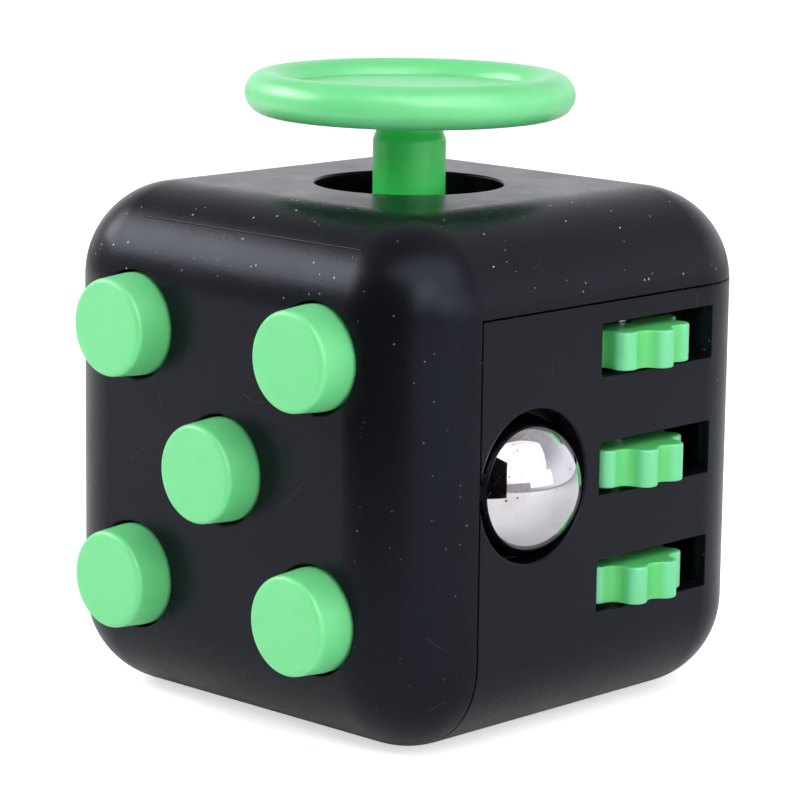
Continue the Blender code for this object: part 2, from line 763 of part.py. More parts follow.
def gear_body():
    """A lobed wheel with chamfered rims, closed top and bottom."""
    half = GEAR_THICK / 2
    levels = (
        (-half, GEAR_CHAMFER),
        (-half + GEAR_CHAMFER, 0),
        (half - GEAR_CHAMFER, 0),
        (half, GEAR_CHAMFER),
    )
    bm = bmesh.new()
    rings = []
    for height, inset in levels:
        rings.append([bm.verts.new((x, y, height)) for x, y in gear_outline(inset)])
    count = len(rings[0])
    for low, high in zip(rings, rings[1:]):
        for step in range(count):
            after = (step + 1) % count
            bm.faces.new((low[step], low[after], high[after], high[step]))
    bm.faces.new(rings[0])
    bm.faces.new(rings[-1])
    return bm


def make_gears():
    for name, height in slot_heights().items():
        place = GEAR_AXIS + Z * (height - GEAR_DROP)
        gear = node("gear_wheel_" + name, gear_body(), GREEN, place)
        gear.rotation_euler.z = GEAR_TURN[name]
        reshape(gear, "DIFFERENCE", [tool(rod(AXLE_RADIUS + RUNNING_GAP, -SIDE, SIDE), place)])
    node("gear_axle", rod(AXLE_RADIUS, *AXLE_ENDS), STEEL, GEAR_AXIS)
    make_gear_bracket()
    make_gear_leaf()


def comb_outline():
    """The bracket's side view: a back plate with an arm above, between and below the three wheels."""
    back, front = COMB_BACK
    bottom, top = COMB_ENDS
    middle_arm = COMB_MIDDLE_ARM / 2
    between = [SLOT_MIDDLE - GEAR_DROP + side * SLOT_PITCH / 2 for side in (-1, 1)]
    arms = [(bottom, bottom + COMB_ARM)]
    arms.extend((height - middle_arm, height + middle_arm) for height in between)
    arms.append((top - COMB_ARM, top))
    steps = []
    for low, high in arms:
        steps.extend([(front, low), (COMB_TIP, low), (COMB_TIP, high), (front, high)])
    outermost_edges_run_to_back = steps[1:-1]
    return [(back, top), (back, bottom)] + outermost_edges_run_to_back


def make_gear_bracket():
    back, front = COMB_BACK
    bracket = node("gear_bracket", prism(comb_outline(), *COMB_Y), INNER_BLACK)
    ear_low = (back, COMB_Y[1] - SUNK, -EAR_HALF_HEIGHT)
    ear_high = (front, EAR_END, EAR_HALF_HEIGHT)
    reshape(bracket, "UNION", [tool(block(ear_low, ear_high))])
    cuts = [tool(rod(AXLE_RADIUS + RUNNING_GAP, -SIDE, SIDE), GEAR_AXIS)]
    for number, z in ((1, EAR_SCREW_Z), (2, -EAR_SCREW_Z)):
        cuts.append(pilot((0, EAR_SCREW_Y, z), 0, SIDE, X))
        screw(f"gear_bracket_screw_{number}", (back, EAR_SCREW_Y, z), X)
    reshape(bracket, "DIFFERENCE", cuts)


def make_gear_leaf():
    """A bent leaf spring on the bracket, with one blade beside each wheel's lobes."""
    near, far = LEAF_Y
    outline = [
        (LEAF_BACK, near),
        (LEAF_BACK + LEAF_THICK, near),
        (LEAF_BACK + LEAF_THICK, far - LEAF_THICK),
        (LEAF_TIP, far - LEAF_THICK),
        (LEAF_TIP, far),
        (LEAF_BACK, far),
    ]
    leaf = node("gear_detent_spring", prism(outline, -LEAF_HALF_HEIGHT, LEAF_HALF_HEIGHT, Z), STEEL)
    heights = sorted(height - GEAR_DROP for height in slot_heights().values())
    cuts = []
    for low, high in zip(heights, heights[1:]):
        start = (LEAF_BACK + LEAF_SPINE, near, low + LEAF_BLADE / 2)
        end = (SIDE, SIDE, high - LEAF_BLADE / 2)
        cuts.append(tool(block(start, end)))
    reshape(leaf, "DIFFERENCE", cuts)


# Rocker switch


def rocker_outline():
    """The level rocker from the side: two flats that meet in a shallow V, round ends and a keel behind."""
    flat = -ROCKER_PIVOT.x - HALF
    flat_distance = -flat - ROCKER_SINK
    corner = math.acos(flat_distance / ROCKER_END_RADIUS) - ROCKER_TILT
    valley = flat_distance / math.cos(ROCKER_TILT)
    end = arc((0, 0), ROCKER_END_RADIUS, math.pi - corner, math.pi - ROCKER_END_ANGLE, EDGE_STEPS)
    lower_end = [(x, -z) for x, z in reversed(end)]
    back = [(ROCKER_BACK, ROCKER_BACK_HALF), (ROCKER_BACK, -ROCKER_BACK_HALF)]
    return [(-valley, 0)] + end + back + lower_end


def make_rocker():
    body = prism(rocker_outline(), -ROCKER_HALF_WIDTH, ROCKER_HALF_WIDTH)
    rocker = node("rocker", body, GREEN, ROCKER_PIVOT)
    rocker.rotation_euler.y = -ROCKER_TILT
    bpy.context.view_layer.update()
    bore_radius, bore_start = ROCKER_BORE
    spout = tool(rod(ROCKER_TUBE, ROCKER_BACK - SUNK, ROCKER_TUBE_END), axis=X, parent=rocker)
    bore = tool(rod(bore_radius, bore_start, SIDE), axis=X, parent=rocker)
    pin_hole = tool(rod(ROCKER_PIN_RADIUS + RUNNING_GAP, -SIDE, SIDE), axis=Y, parent=rocker)
    reshape(rocker, "UNION", [spout])
    reshape(rocker, "DIFFERENCE", [bore, pin_hole])
    node("rocker_pin", rod(ROCKER_PIN_RADIUS, -ROCKER_PIN_HALF, ROCKER_PIN_HALF), STEEL, ROCKER_PIVOT, Y)
    start, end = PLUNGER
    tip = arc((0, end - PLUNGER_RADIUS), PLUNGER_RADIUS, 0, math.pi / 2, FILLET_STEPS)
    tip[-1] = (0, end)
    plunger = turned([(0, start), (PLUNGER_RADIUS, start), *tip], SMALL_STEPS)
    node("rocker_plunger", plunger, RUBBER, axis=X, parent=rocker)
    spring = coil(ROCKER_SPRING_RADIUS, ROCKER_SPRING_WIRE, *ROCKER_SPRING, ROCKER_SPRING_TURNS)
    node("rocker_spring", spring, WIRE, axis=X, parent=rocker)
    make_rocker_bracket()


def make_rocker_bracket():
    """A frame behind the wall, with cheeks for the pin and a ridged plate that the plunger crosses."""
    half_y, half_z = FRAME_HALF
    window_y, window_z = FRAME_WINDOW
    front, back = FRAME_PLATE
    frame = block((front, -half_y, -half_z), (back, half_y, half_z))
    bracket = node("rocker_bracket", frame, INNER_BLACK)
    window = tool(block((-SIDE, -window_y, -window_z), (0, window_y, window_z)))
    reshape(bracket, "DIFFERENCE", [window])
    added = []
    for side in (-1, 1):
        low = (CHEEK_FRONT, side * window_y, -CHEEK_HALF_HEIGHT)
        high = (CAM_PLATE[1], side * half_y, CHEEK_HALF_HEIGHT)
        added.append(tool(block(low, high)))
    cam_front, cam_back = CAM_PLATE
    cam_outline = [
        (cam_back, -CHEEK_HALF_HEIGHT),
        (cam_back, CHEEK_HALF_HEIGHT),
        (cam_front, CHEEK_HALF_HEIGHT),
        (cam_front, CAM_RIDGE_HALF),
        (cam_front - CAM_RIDGE, 0),
        (cam_front, -CAM_RIDGE_HALF),
        (cam_front, -CHEEK_HALF_HEIGHT),
    ]
    added.append(tool(prism(cam_outline, -half_y + SUNK, half_y - SUNK)))
    cuts = [tool(rod(ROCKER_PIN_RADIUS + RUNNING_GAP, -SIDE, SIDE), ROCKER_PIVOT, Y)]
    for number, z in ((1, FRAME_SCREW), (2, -FRAME_SCREW)):
        cuts.append(pilot((0, 0, z), 0, SIDE, -X))
        screw(f"rocker_bracket_screw_{number}", (back, 0, z), -X)
    for item in added:
        reshape(bracket, "UNION", [item])
    reshape(bracket, "DIFFERENCE", cuts)


# Dial


def make_dial():
    """A disc with a finger dimple, whose hub turns in the back wall and is held from inside by a washer."""
    back = HALF + GAP
    front = back + DIAL_THICK
    edge_centre = (DIAL_RADIUS - DIAL_EDGE, front - DIAL_EDGE)
    outline = [
        (0, DIAL_HUB_END),
        (DIAL_HUB, DIAL_HUB_END),
        (DIAL_HUB, back),
        (DIAL_RADIUS, back),
        *arc(edge_centre, DIAL_EDGE, 0, math.pi / 2, FILLET_STEPS),
        (0, front),
    ]
    dial = node("dial", turned(outline, DIAL_STEPS), GREEN, axis=Y)
    place, radius, depth = DIAL_DIMPLE
    sphere = (radius**2 + depth**2) / (2 * depth)
    ball = arc((0, 0), sphere, -math.pi / 2, math.pi / 2, SMALL_STEPS)
    ball[0] = (0, -sphere)
    ball[-1] = (0, sphere)
    dimple = tool(turned(ball), (0, front + sphere - depth, place))
    hole = tool(rod(PILOT_RADIUS, 0, DIAL_SCREW_HOLE_END), axis=Y)
    reshape(dial, "DIFFERENCE", [dimple, hole])
    inner, outer, low, high = WASHER
    node("dial_washer", tube(inner, outer, low, high), ZINC, axis=Y)
    outline = [
        (0, low - GAP - SCREW_HEAD_HEIGHT),
        (DIAL_SCREW_HEAD, low - GAP - SCREW_HEAD_HEIGHT),
        (DIAL_SCREW_HEAD, low - GAP),
        (SCREW_SHANK, low - GAP),
        (SCREW_SHANK, DIAL_SCREW_HOLE_END - 2 * SCREW_POINT),
        (0, DIAL_SCREW_HOLE_END - SCREW_POINT),
    ]
    node("dial_screw", turned(outline, SMALL_STEPS), ZINC, axis=Y)


clear_scene()
CENTRE = make_centre()
make_upper_shell()
make_lower_shell()
make_buttons()
make_joystick()
make_ball()
make_gears()
make_rocker()
make_dial()
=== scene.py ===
"""The looks of a fidget cube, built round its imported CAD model.

The shells, caps, joystick, ball, gear wheels, rocker, dial, springs, domes and screws are modelled again in
finer detail and stand for their CAD nodes. The brackets and pins inside keep their CAD shape.

Lengths are in millimetres and MM turns them into metres. Shapes are drawn from the cube's centre, or from the
point given as at, with local Z along the direction given as axis.
"""

import json
import math

import bmesh
import bpy
from mathutils import Matrix, Vector


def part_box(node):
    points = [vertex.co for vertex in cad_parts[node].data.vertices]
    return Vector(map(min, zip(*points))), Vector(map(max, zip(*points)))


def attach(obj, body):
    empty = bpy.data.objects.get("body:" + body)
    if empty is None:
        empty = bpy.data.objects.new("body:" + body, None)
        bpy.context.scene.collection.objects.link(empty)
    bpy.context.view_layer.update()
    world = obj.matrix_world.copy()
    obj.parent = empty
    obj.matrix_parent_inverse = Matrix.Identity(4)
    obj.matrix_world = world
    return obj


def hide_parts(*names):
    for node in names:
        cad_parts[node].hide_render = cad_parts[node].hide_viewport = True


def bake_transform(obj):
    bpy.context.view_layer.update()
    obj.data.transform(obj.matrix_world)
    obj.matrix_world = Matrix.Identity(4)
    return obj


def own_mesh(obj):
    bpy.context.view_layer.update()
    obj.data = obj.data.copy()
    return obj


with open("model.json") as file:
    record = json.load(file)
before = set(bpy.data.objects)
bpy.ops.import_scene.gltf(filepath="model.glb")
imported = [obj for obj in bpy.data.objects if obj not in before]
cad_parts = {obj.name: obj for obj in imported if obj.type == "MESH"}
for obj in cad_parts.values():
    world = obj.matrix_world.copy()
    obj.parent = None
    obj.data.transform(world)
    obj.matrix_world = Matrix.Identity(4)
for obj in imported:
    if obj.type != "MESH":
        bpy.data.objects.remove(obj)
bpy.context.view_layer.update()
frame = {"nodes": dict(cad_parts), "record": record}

MM = 0.001
ORIGIN = Vector((0, 0, 0))
X = Vector((1, 0, 0))
Y = Vector((0, 1, 0))
Z = Vector((0, 0, 1))
FAR = 40.0
GAP = 0.3
SHARP_ANGLE = math.radians(32)
MERGE = 1e-4


def both(*nodes):
    """The box round several CAD nodes, in metres."""
    lows, highs = zip(*[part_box(node) for node in nodes])
    return Vector(map(min, *lows)), Vector(map(max, *highs))


CUBE_LOW, CUBE_HIGH = both("upper_shell", "lower_shell")
CENTRE = (CUBE_LOW + CUBE_HIGH) / 2
HALF = (CUBE_HIGH.x - CUBE_LOW.x) / 2 / MM


def box_mm(node):
    """A CAD node's lowest and highest corners in millimetres, from the cube's centre."""
    low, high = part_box(node)
    return (low - CENTRE) / MM, (high - CENTRE) / MM


def middle_mm(node):
    low, high = box_mm(node)
    return (low + high) / 2


SLOTS = {part["node"]: part["material_slot"] for part in frame["record"]["subparts"]}

# Shell
EDGE_RADIUS = 6.1
EDGE_STEPS = 24
SKIN_INSIDE = HALF - 1.45
CORE_OUTSIDE = HALF - 1.2
INSIDE = HALF - 1.7
SEAM = 10.69
SEAM_GAP = 0.13
CUT_OVERSIZE = 0.01
LIP = 0.14
LIP_STEPS = 3
WITNESS_LINE = (-9.0, 10.3)
WITNESS_RADIUS = 0.12
WITNESS_PROUD = 0.05

# Buttons
BUTTONS = ("top_left", "top_right", "centre", "bottom_left", "bottom_right")
BUTTON_RADIUS = 3.27
BUTTON_FRONT_RADIUS = 3.12
BUTTON_EDGE = 0.36
BUTTON_HOLE = 3.45
BUTTON_FLANGE_THICK = 0.8
BUTTON_DISH = 0.06
STUD_RADIUS = 1.0
STUD_LENGTH = 0.5

# Joystick
STICK_HOLE = 6.1
STICK_RADIUS = 2.35
STICK_NECK = 2.13
RIM_RADIUS = 1.36
DISH_DEPTH = 0.95
STICK_FILLET = 0.36
NECK_LENGTHS = (0.9, 1.7)
FLANGE_RADIUS = 4.3
FLANGE = (2.7, 3.5)
STICK_PIN_HOLE = 0.85

# Springs, as the radius of the wire and the number of turns
JOYSTICK_COIL = (0.3, 3)
BALL_COIL = (0.25, 2.5)
ROCKER_COIL = (0.18, 3.5)

# Ball
BALL_HOLE = 4.78
BALL_HOLE_HEIGHT = 0.02
CARRIER_BORE = 4.6
CARRIER_LIP = 4.485
CARRIER_SNOUT = 4.62
CARRIER_THROAT = (4.53, 0.3)
CARRIER_THROAT_FOOT = 0.1
CARRIER_BODY = 5.0
CARRIER_CHAMFER = 0.6
CARRIER_EDGE = 0.03
CARRIER_FLANGE_THICK = 0.8

# Gear wheels and their slots
GEARS = ("top", "middle", "bottom")
GEAR_LOBES = 9
GEAR_PEAK = 4.6
GEAR_VALLEY = 3.8
GEAR_SQUARENESS = 0.75
GEAR_EDGE = 0.14
GEAR_TURN = {"top": -0.72, "middle": -0.30, "bottom": -0.44}
GEAR_BORE = 0.95
SLOT_Y = (0.27, 10.91)
SLOT_HEIGHT = 3.35
SLOT_RISE = 0.25
SLOT_LIP = 0.1

# Rocker switch
ROCKER_TILT = math.radians(12)
ROCKER_SINK = 0.1
ROCKER_END_RADIUS = 7.6
ROCKER_HALF_WIDTH = 4.4
ROCKER_END_ANGLE = math.radians(86)
ROCKER_WELD = 0.002
ROCKER_BACK = 1.3
ROCKER_BACK_HALF = 2.6
ROCKER_TUBE = 1.9
ROCKER_TUBE_END = 5.0
ROCKER_TUBE_OVERLAP = 0.5
PLUNGER_RADIUS = 1.0
PLUNGER_FOOT = 3.7
PLUNGER_SHOULDER = 4.9
PLUNGER_CHAMFER = 0.1
ROCKER_COIL_RADIUS = 0.8
ROCKER_COIL_ENDS = (1.65, 3.4)
ROCKER_BORE = (1.25, 1.4)
ROCKER_PIN_HOLE = 1.0
ROCKER_EDGE = 0.35
ROCKER_OPENING = (4.7, 7.8)

# Dial
DIAL_CHAMFER = 0.15
DIAL_EDGE = 0.5
DIAL_HUB = 2.5
DIAL_DIMPLE = (4.9, 2.4, 0.8)
DIAL_SCREW_HOLE = (0.95, 17.0)

# Thumb hollow
HOLLOW_RADIUS = 8.8
HOLLOW_DEPTH = 1.8

# Camera, which looks past the cube's centre
CAMERA_AZIMUTH = math.radians(43.852)
CAMERA_ELEVATION = math.radians(10.946)
CAMERA_ROLL = math.radians(0.755)
CAMERA_DISTANCE = 229.736
CAMERA_ASIDE = -0.363
CAMERA_UP = 2.195
CAMERA_LENS = 158.58
CAMERA_SENSOR = 36.0


# Shapes, each a bmesh in millimetres


def arc(centre, radius, start, end, steps):
    """Points on a circle about centre, from the start angle to the end angle, in radians."""
    points = []
    for step in range(steps + 1):
        angle = start + (end - start) * step / steps
        points.append((centre[0] + radius * math.cos(angle), centre[1] + radius * math.sin(angle)))
    return points


def turned(outline, steps=96):
    """The outline turned about Z. It either starts and ends on the axis or closes on its first point."""
    bm = bmesh.new()
    closed = outline[0][0] > MERGE
    rings = []
    for radius, height in outline:
        if radius < MERGE:
            rings.append([bm.verts.new((0, 0, height))])
            continue
        ring = []
        for step in range(steps):
            angle = math.tau * step / steps
            ring.append(bm.verts.new((radius * math.cos(angle), radius * math.sin(angle), height)))
        rings.append(ring)
    pairs = list(zip(rings, rings[1:]))
    if closed:
        pairs.append((rings[-1], rings[0]))
    for first, second in pairs:
        for step in range(steps):
            after = (step + 1) % steps
            corners = [first[step % len(first)], first[after % len(first)]]
            corners += [second[after % len(second)], second[step % len(second)]]
            corners = [vert for place, vert in enumerate(corners) if vert not in corners[:place]]
            bm.faces.new(corners)
    flat = [vert for vert in bm.verts if in_flat_cap(vert)]
    bmesh.ops.dissolve_verts(bm, verts=flat)
    return bm


def in_flat_cap(vert):
    """Whether a vertex on the axis only joins the triangles of a flat end."""
    level = all(abs(edge.other_vert(vert).co.z - vert.co.z) < MERGE for edge in vert.link_edges)
    return level and vert.co.xy.length < MERGE


def rod(radius, low, high, steps=48):
    return turned([(0, low), (radius, low), (radius, high), (0, high)], steps)


def flared_rod(radius, low, high, lip):
    """A cutter for a round hole whose rim, at the height high, is rounded by lip."""
    flare = arc((radius + lip, high - lip), lip, math.pi, math.pi / 2, LIP_STEPS)
    return turned([(0, low), (radius, low), *flare, (radius + lip, high + 1), (0, high + 1)])


def lofted(levels):
    """A closed body through outlines at several heights, each a list of the same number of points."""
    bm = bmesh.new()
    rings = []
    for height, outline in levels:
        rings.append([bm.verts.new((x, y, height)) for x, y in outline])
    count = len(rings[0])
    for low, high in zip(rings, rings[1:]):
        for step in range(count):
            after = (step + 1) % count
            bm.faces.new((low[step], low[after], high[after], high[step]))
    bm.faces.new(list(reversed(rings[0])))
    bm.faces.new(rings[-1])
    return bm


def rounded_rectangle(half_x, half_y, radius, steps=4):
    points = []
    for quarter, (side_x, side_y) in enumerate(((1, 1), (-1, 1), (-1, -1), (1, -1))):
        centre = (side_x * (half_x - radius), side_y * (half_y - radius))
        start = quarter * math.pi / 2
        points.extend(arc(centre, radius, start, start + math.pi / 2, steps))
    return points


def flared_opening(half_x, half_y, corner, low, high, lip):
    """A cutter for a rectangular opening whose rim, at the height high, is rounded by lip."""
    levels = [(low, rounded_rectangle(half_x, half_y, corner))]
    for out, height in arc((lip, high - lip), lip, math.pi, math.pi / 2, LIP_STEPS):
        levels.append((height, rounded_rectangle(half_x + out, half_y + out, corner + out)))
    levels.append((high + 1, rounded_rectangle(half_x + lip, half_y + lip, corner + lip)))
    return lofted(levels)


def block(low, high):
    low, high = Vector(low), Vector(high)
    size = high - low
    bm = bmesh.new()
    matrix = Matrix.Translation((low + high) / 2) @ Matrix.Diagonal((*size, 1))
    bmesh.ops.create_cube(bm, size=1, matrix=matrix)
    return bm


def rounded_cube(half, radius, steps):
    bm = bmesh.new()
    bmesh.ops.create_cube(bm, size=2 * half)
    bmesh.ops.bevel(bm, geom=bm.edges[:], offset=radius, segments=steps, profile=0.5, affect="EDGES")
    return bm


def coil(radius, wire, low, high, turns, steps=32, sides=10):
    """A helical spring about Z whose first and last three quarters of a turn lie nearly flat."""
    bm = bmesh.new()
    count = round(turns * steps)
    dead = 0.75 / turns
    rings = []
    for step in range(count + 1):
        share = step / count
        rise = min(max((share - dead) / (1 - 2 * dead), 0), 1)
        flat_share = min(share, dead) + max(share - 1 + dead, 0)
        lay = 2 * wire * turns * flat_share / (high - low - 2 * wire)
        along = lay + rise * (1 - 2 * wire * turns * 2 * dead / (high - low - 2 * wire))
        angle = math.tau * turns * share
        height = low + wire + (high - low - 2 * wire) * along
        outward = Vector((math.cos(angle), math.sin(angle), 0))
        ring = []
        for side in range(sides):
            around = math.tau * side / sides
            place = outward * (radius + wire * math.cos(around)) + Z * (height + wire * math.sin(around))
            ring.append(bm.verts.new(place))
        rings.append(ring)
    for low_ring, high_ring in zip(rings, rings[1:]):
        for side in range(sides):
            after = (side + 1) % sides
            bm.faces.new((low_ring[side], low_ring[after], high_ring[after], high_ring[side]))
    bm.faces.new(rings[0])
    bm.faces.new(rings[-1])
    return bm


# Objects


def smooth(mesh):
    mesh.shade_smooth()
    mesh.set_sharp_from_angle(angle=SHARP_ANGLE)


def make_object(name, bm, at=ORIGIN, axis=Z):
    """An object in the row frame whose local Z lies along axis, with the bmesh turned into metres."""
    bmesh.ops.recalc_face_normals(bm, faces=bm.faces)
    bmesh.ops.scale(bm, vec=(MM, MM, MM), verts=bm.verts)
    mesh = bpy.data.meshes.new(name)
    bm.to_mesh(mesh)
    bm.free()
    smooth(mesh)
    obj = bpy.data.objects.new(name, mesh)
    obj.location = CENTRE + Vector(at) * MM
    obj.rotation_euler = Z.rotation_difference(axis).to_euler()
    bpy.context.scene.collection.objects.link(obj)
    return obj


def reshape(target, operation, tools):
    """Adds the tools to the target, cuts them from it or keeps what lies inside them, then removes them."""
    for item in tools:
        modifier = target.modifiers.new("shape", "BOOLEAN")
        modifier.operation = operation
        modifier.solver = "EXACT"
        modifier.object = item
    bpy.context.view_layer.update()
    shaped = target.evaluated_get(bpy.context.evaluated_depsgraph_get())
    mesh = bpy.data.meshes.new_from_object(shaped)
    target.modifiers.clear()
    target.data = mesh
    smooth(mesh)
    for item in tools:
        bpy.data.objects.remove(item)


def settle(obj):
    """Moves an object's turn into its mesh."""
    bpy.context.view_layer.update()
    place, turn, _ = obj.matrix_world.decompose()
    obj.data.transform(turn.to_matrix().to_4x4())
    obj.matrix_world = Matrix.Translation(place)


def finish_piece(obj, material, body, nodes):
    """Gives a piece its material, the CAD body it rides on and the CAD nodes it stands for."""
    obj.data.materials.clear()
    obj.data.materials.append(material)
    if body:
        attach(obj, body)
    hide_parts(*nodes)
    return obj


# Materials


class Finish:
    """A Principled material whose texture nodes read a place on the piece in millimetres."""

    def __init__(self, name, colour, metallic=0.0, roughness=0.5, specular=0.5):
        self.material = bpy.data.materials.new(name)
        self.material.use_nodes = True
        self.nodes = self.material.node_tree.nodes
        self.links = self.material.node_tree.links
        self.shader = self.nodes["Principled BSDF"]
        self.put(self.shader, "Base Color", (*colour, 1))
        self.put(self.shader, "Metallic", metallic)
        self.put(self.shader, "Roughness", roughness)
        self.put(self.shader, "Specular IOR Level", specular)
        place = self.nodes.new("ShaderNodeTexCoord")
        scaled = self.add("VectorMath", operation="SCALE")
        self.put(scaled, 0, place.outputs["Object"])
        self.put(scaled, "Scale", 1 / MM)
        self.place = scaled.outputs[0]

    def add(self, kind, **settings):
        node = self.nodes.new("ShaderNode" + kind)
        for name, value in settings.items():
            setattr(node, name, value)
        return node

    def put(self, node, name, value):
        """Sets a node's input to a number or colour, or links it to another node's output."""
        if isinstance(value, bpy.types.NodeSocket):
            self.links.new(value, node.inputs[name])
        else:
            node.inputs[name].default_value = value

    def noise(self, size, detail=2.0, roughness=0.5, seed=0.0):
        """Noise whose features are about size millimetres across."""
        node = self.add("TexNoise", noise_dimensions="4D")
        self.put(node, "Vector", self.place)
        self.put(node, "W", seed)
        self.put(node, "Scale", 1 / size)
        self.put(node, "Detail", detail)
        self.put(node, "Roughness", roughness)
        return node.outputs["Fac"]

    def math(self, operation, first, second=0.0):
        node = self.add("Math", operation=operation)
        self.put(node, 0, first)
        self.put(node, 1, second)
        return node.outputs[0]

    def span(self, value, low, high, out_low=0.0, out_high=1.0, smoothly=False):
        """Maps low..high to out_low..out_high and stops there."""
        node = self.add("MapRange", interpolation_type="SMOOTHSTEP" if smoothly else "LINEAR")
        self.put(node, "Value", value)
        self.put(node, "From Min", low)
        self.put(node, "From Max", high)
        self.put(node, "To Min", out_low)
        self.put(node, "To Max", out_high)
        return node.outputs["Result"]

    def mix(self, share, first, second):
        node = self.add("Mix", data_type="RGBA")
        self.put(node, 0, share)
        for socket, value in ((6, first), (7, second)):
            self.put(node, socket, value if isinstance(value, bpy.types.NodeSocket) else (*value, 1))
        return node.outputs[2]

    def specks(self, cell, radius, share, seed=0.0):
        """1 inside scattered dots: one for a share of the cells, of a random size up to radius in mm."""
        shift = self.add("VectorMath", operation="ADD")
        self.put(shift, 0, self.place)
        self.put(shift, 1, (seed * 17, seed * 29, seed * 41))
        cells = self.add("TexVoronoi", voronoi_dimensions="3D")
        self.put(cells, "Vector", shift.outputs[0])
        self.put(cells, "Scale", 1 / cell)
        channels = self.add("SeparateColor")
        self.put(channels, 0, cells.outputs["Color"])
        size = self.math("MULTIPLY", channels.outputs[0], radius / cell)
        inside = self.math("LESS_THAN", cells.outputs["Distance"], size)
        chosen = self.math("LESS_THAN", channels.outputs[1], share)
        return self.math("MULTIPLY", inside, chosen)

    def hairlines(self, size, width, share, seed=0.0):
        """1 along thin curved lines, broken into short stretches."""
        field = self.noise(size, 0.0, 0.0, seed)
        off_line = self.math("ABSOLUTE", self.math("SUBTRACT", field, 0.5))
        line = self.math("LESS_THAN", off_line, width / size)
        patches = self.noise(size / 2, 1.0, 0.5, seed + 7)
        kept = self.math("LESS_THAN", patches, share)
        return self.math("MULTIPLY", line, kept)

    def bump(self, height, depth, under=None):
        """Tilts the normal by a 0..1 height that stands for depth millimetres."""
        node = self.add("Bump")
        self.put(node, "Strength", 1.0)
        self.put(node, "Distance", depth * MM)
        self.put(node, "Height", height)
        if under:
            self.put(node, "Normal", under)
        self.put(self.shader, "Normal", node.outputs[0])
        return node.outputs[0]

    def colour(self, value):
        self.put(self.shader, "Base Color", value)

    def roughness(self, value):
        self.put(self.shader, "Roughness", value)


def upward(finish):
    """How much a point faces up, from 0 to 1, in the row frame."""
    normal = finish.add("NewGeometry").outputs["Normal"]
    parts = finish.add("SeparateXYZ")
    finish.put(parts, 0, normal)
    return finish.span(parts.outputs["Z"], -0.2, 0.7, smoothly=True)


def make_shell_finish():
    """Satin black plastic with a spark-eroded grain, dust that lies mostly on top, and a few hairlines."""
    black = (0.0034, 0.0036, 0.0048)
    finish = Finish("black_shell", black, 0.0, 0.28, 0.2)
    finish.put(finish.shader, "Specular Tint", (0.7, 0.77, 1.0, 1))
    cloud = finish.noise(5.0, 3.0)
    tint = finish.mix(finish.span(cloud, 0.35, 0.65), black, (0.0042, 0.0044, 0.0062))
    patches = finish.span(finish.noise(4.5, 2.0, 0.5, 3.0), 0.3, 0.6, 0.15, 1.0)
    settled = finish.math("MULTIPLY", finish.span(upward(finish), 0.0, 1.0, 0.05, 1.0), patches)
    dust = finish.math("MULTIPLY", finish.specks(0.42, 0.08, 0.22), settled)
    stray = finish.math("MULTIPLY", finish.specks(0.6, 0.06, 0.06, 5.0), 0.3)
    lines = finish.math("MULTIPLY", finish.hairlines(9.0, 0.007, 0.38, 2.0), 0.06)
    light = finish.math("MAXIMUM", dust, finish.math("MAXIMUM", stray, lines))
    finish.colour(finish.mix(light, tint, (0.6, 0.6, 0.58)))
    smear = finish.noise(3.0, 4.0, 0.6, 9.0)
    finish.roughness(finish.span(smear, 0.3, 0.7, 0.25, 0.32))
    grain = finish.noise(0.15, 2.0, 0.6)
    fine = finish.bump(grain, 0.009)
    finish.bump(finish.noise(1.4, 1.0, 0.5, 4.0), 0.006, fine)
    return finish.material


def make_green_finish(name, colour, shade, painted_shade=None, shade_radii=None, gloss=(0.32, 0.42), crown=None):
    """Satin green plastic, slightly milky, with soft flow marks, a very fine grain and a few dark specks.

    Painted shade: near the piece's axis the green turns to a deeper, more saturated copy of itself, which
    stands in for the green in shade on the joystick's stem under its disc and in the gear valleys.
    Its two radii from the piece's axis give where the painted shade is full and where it has gone; its two
    heights over the piece's origin give where it ends upwards.
    """
    finish = Finish(name, colour, 0.0, 0.36, 0.75)
    flow = finish.noise(2.6, 3.0, 0.55, 1.0)
    tint = finish.mix(finish.span(flow, 0.35, 0.65), colour, shade)
    # Painted shade: a deeper, more saturated green towards the axis, and on the joystick below the top of its
    # disc, standing in for shade
    if shade_radii:
        parts = finish.add("SeparateXYZ")
        finish.put(parts, 0, finish.place)
        squares = [finish.math("MULTIPLY", parts.outputs[axis], parts.outputs[axis]) for axis in "XY"]
        radius = finish.math("SQRT", finish.math("ADD", *squares))
        pale = finish.span(radius, *shade_radii, smoothly=True)
        if crown:
            pale = finish.math("MAXIMUM", pale, finish.span(parts.outputs["Z"], *crown, smoothly=True))
        tint = finish.mix(pale, painted_shade, tint)
    dirt = finish.specks(0.6, 0.06, 0.02, 6.0)
    finish.colour(finish.mix(finish.math("MULTIPLY", dirt, 0.55), tint, (0.03, 0.06, 0.03)))
    finish.roughness(finish.span(finish.noise(1.6, 3.0, 0.5, 8.0), 0.3, 0.7, *gloss))
    finish.put(finish.shader, "Subsurface Weight", 0.5)
    finish.put(finish.shader, "Subsurface Radius", (0.4, 1.0, 0.5))
    finish.put(finish.shader, "Subsurface Scale", 0.8 * MM)
    fine = finish.bump(finish.noise(0.12, 2.0, 0.5, 2.0), 0.003)
    finish.bump(finish.noise(2.2, 1.0, 0.5, 4.0), 0.006, fine)
    return finish.material


def haze(finish):
    """Soft patches where the polish is worn."""
    return finish.noise(1.8, 4.0, 0.6, 5.0)


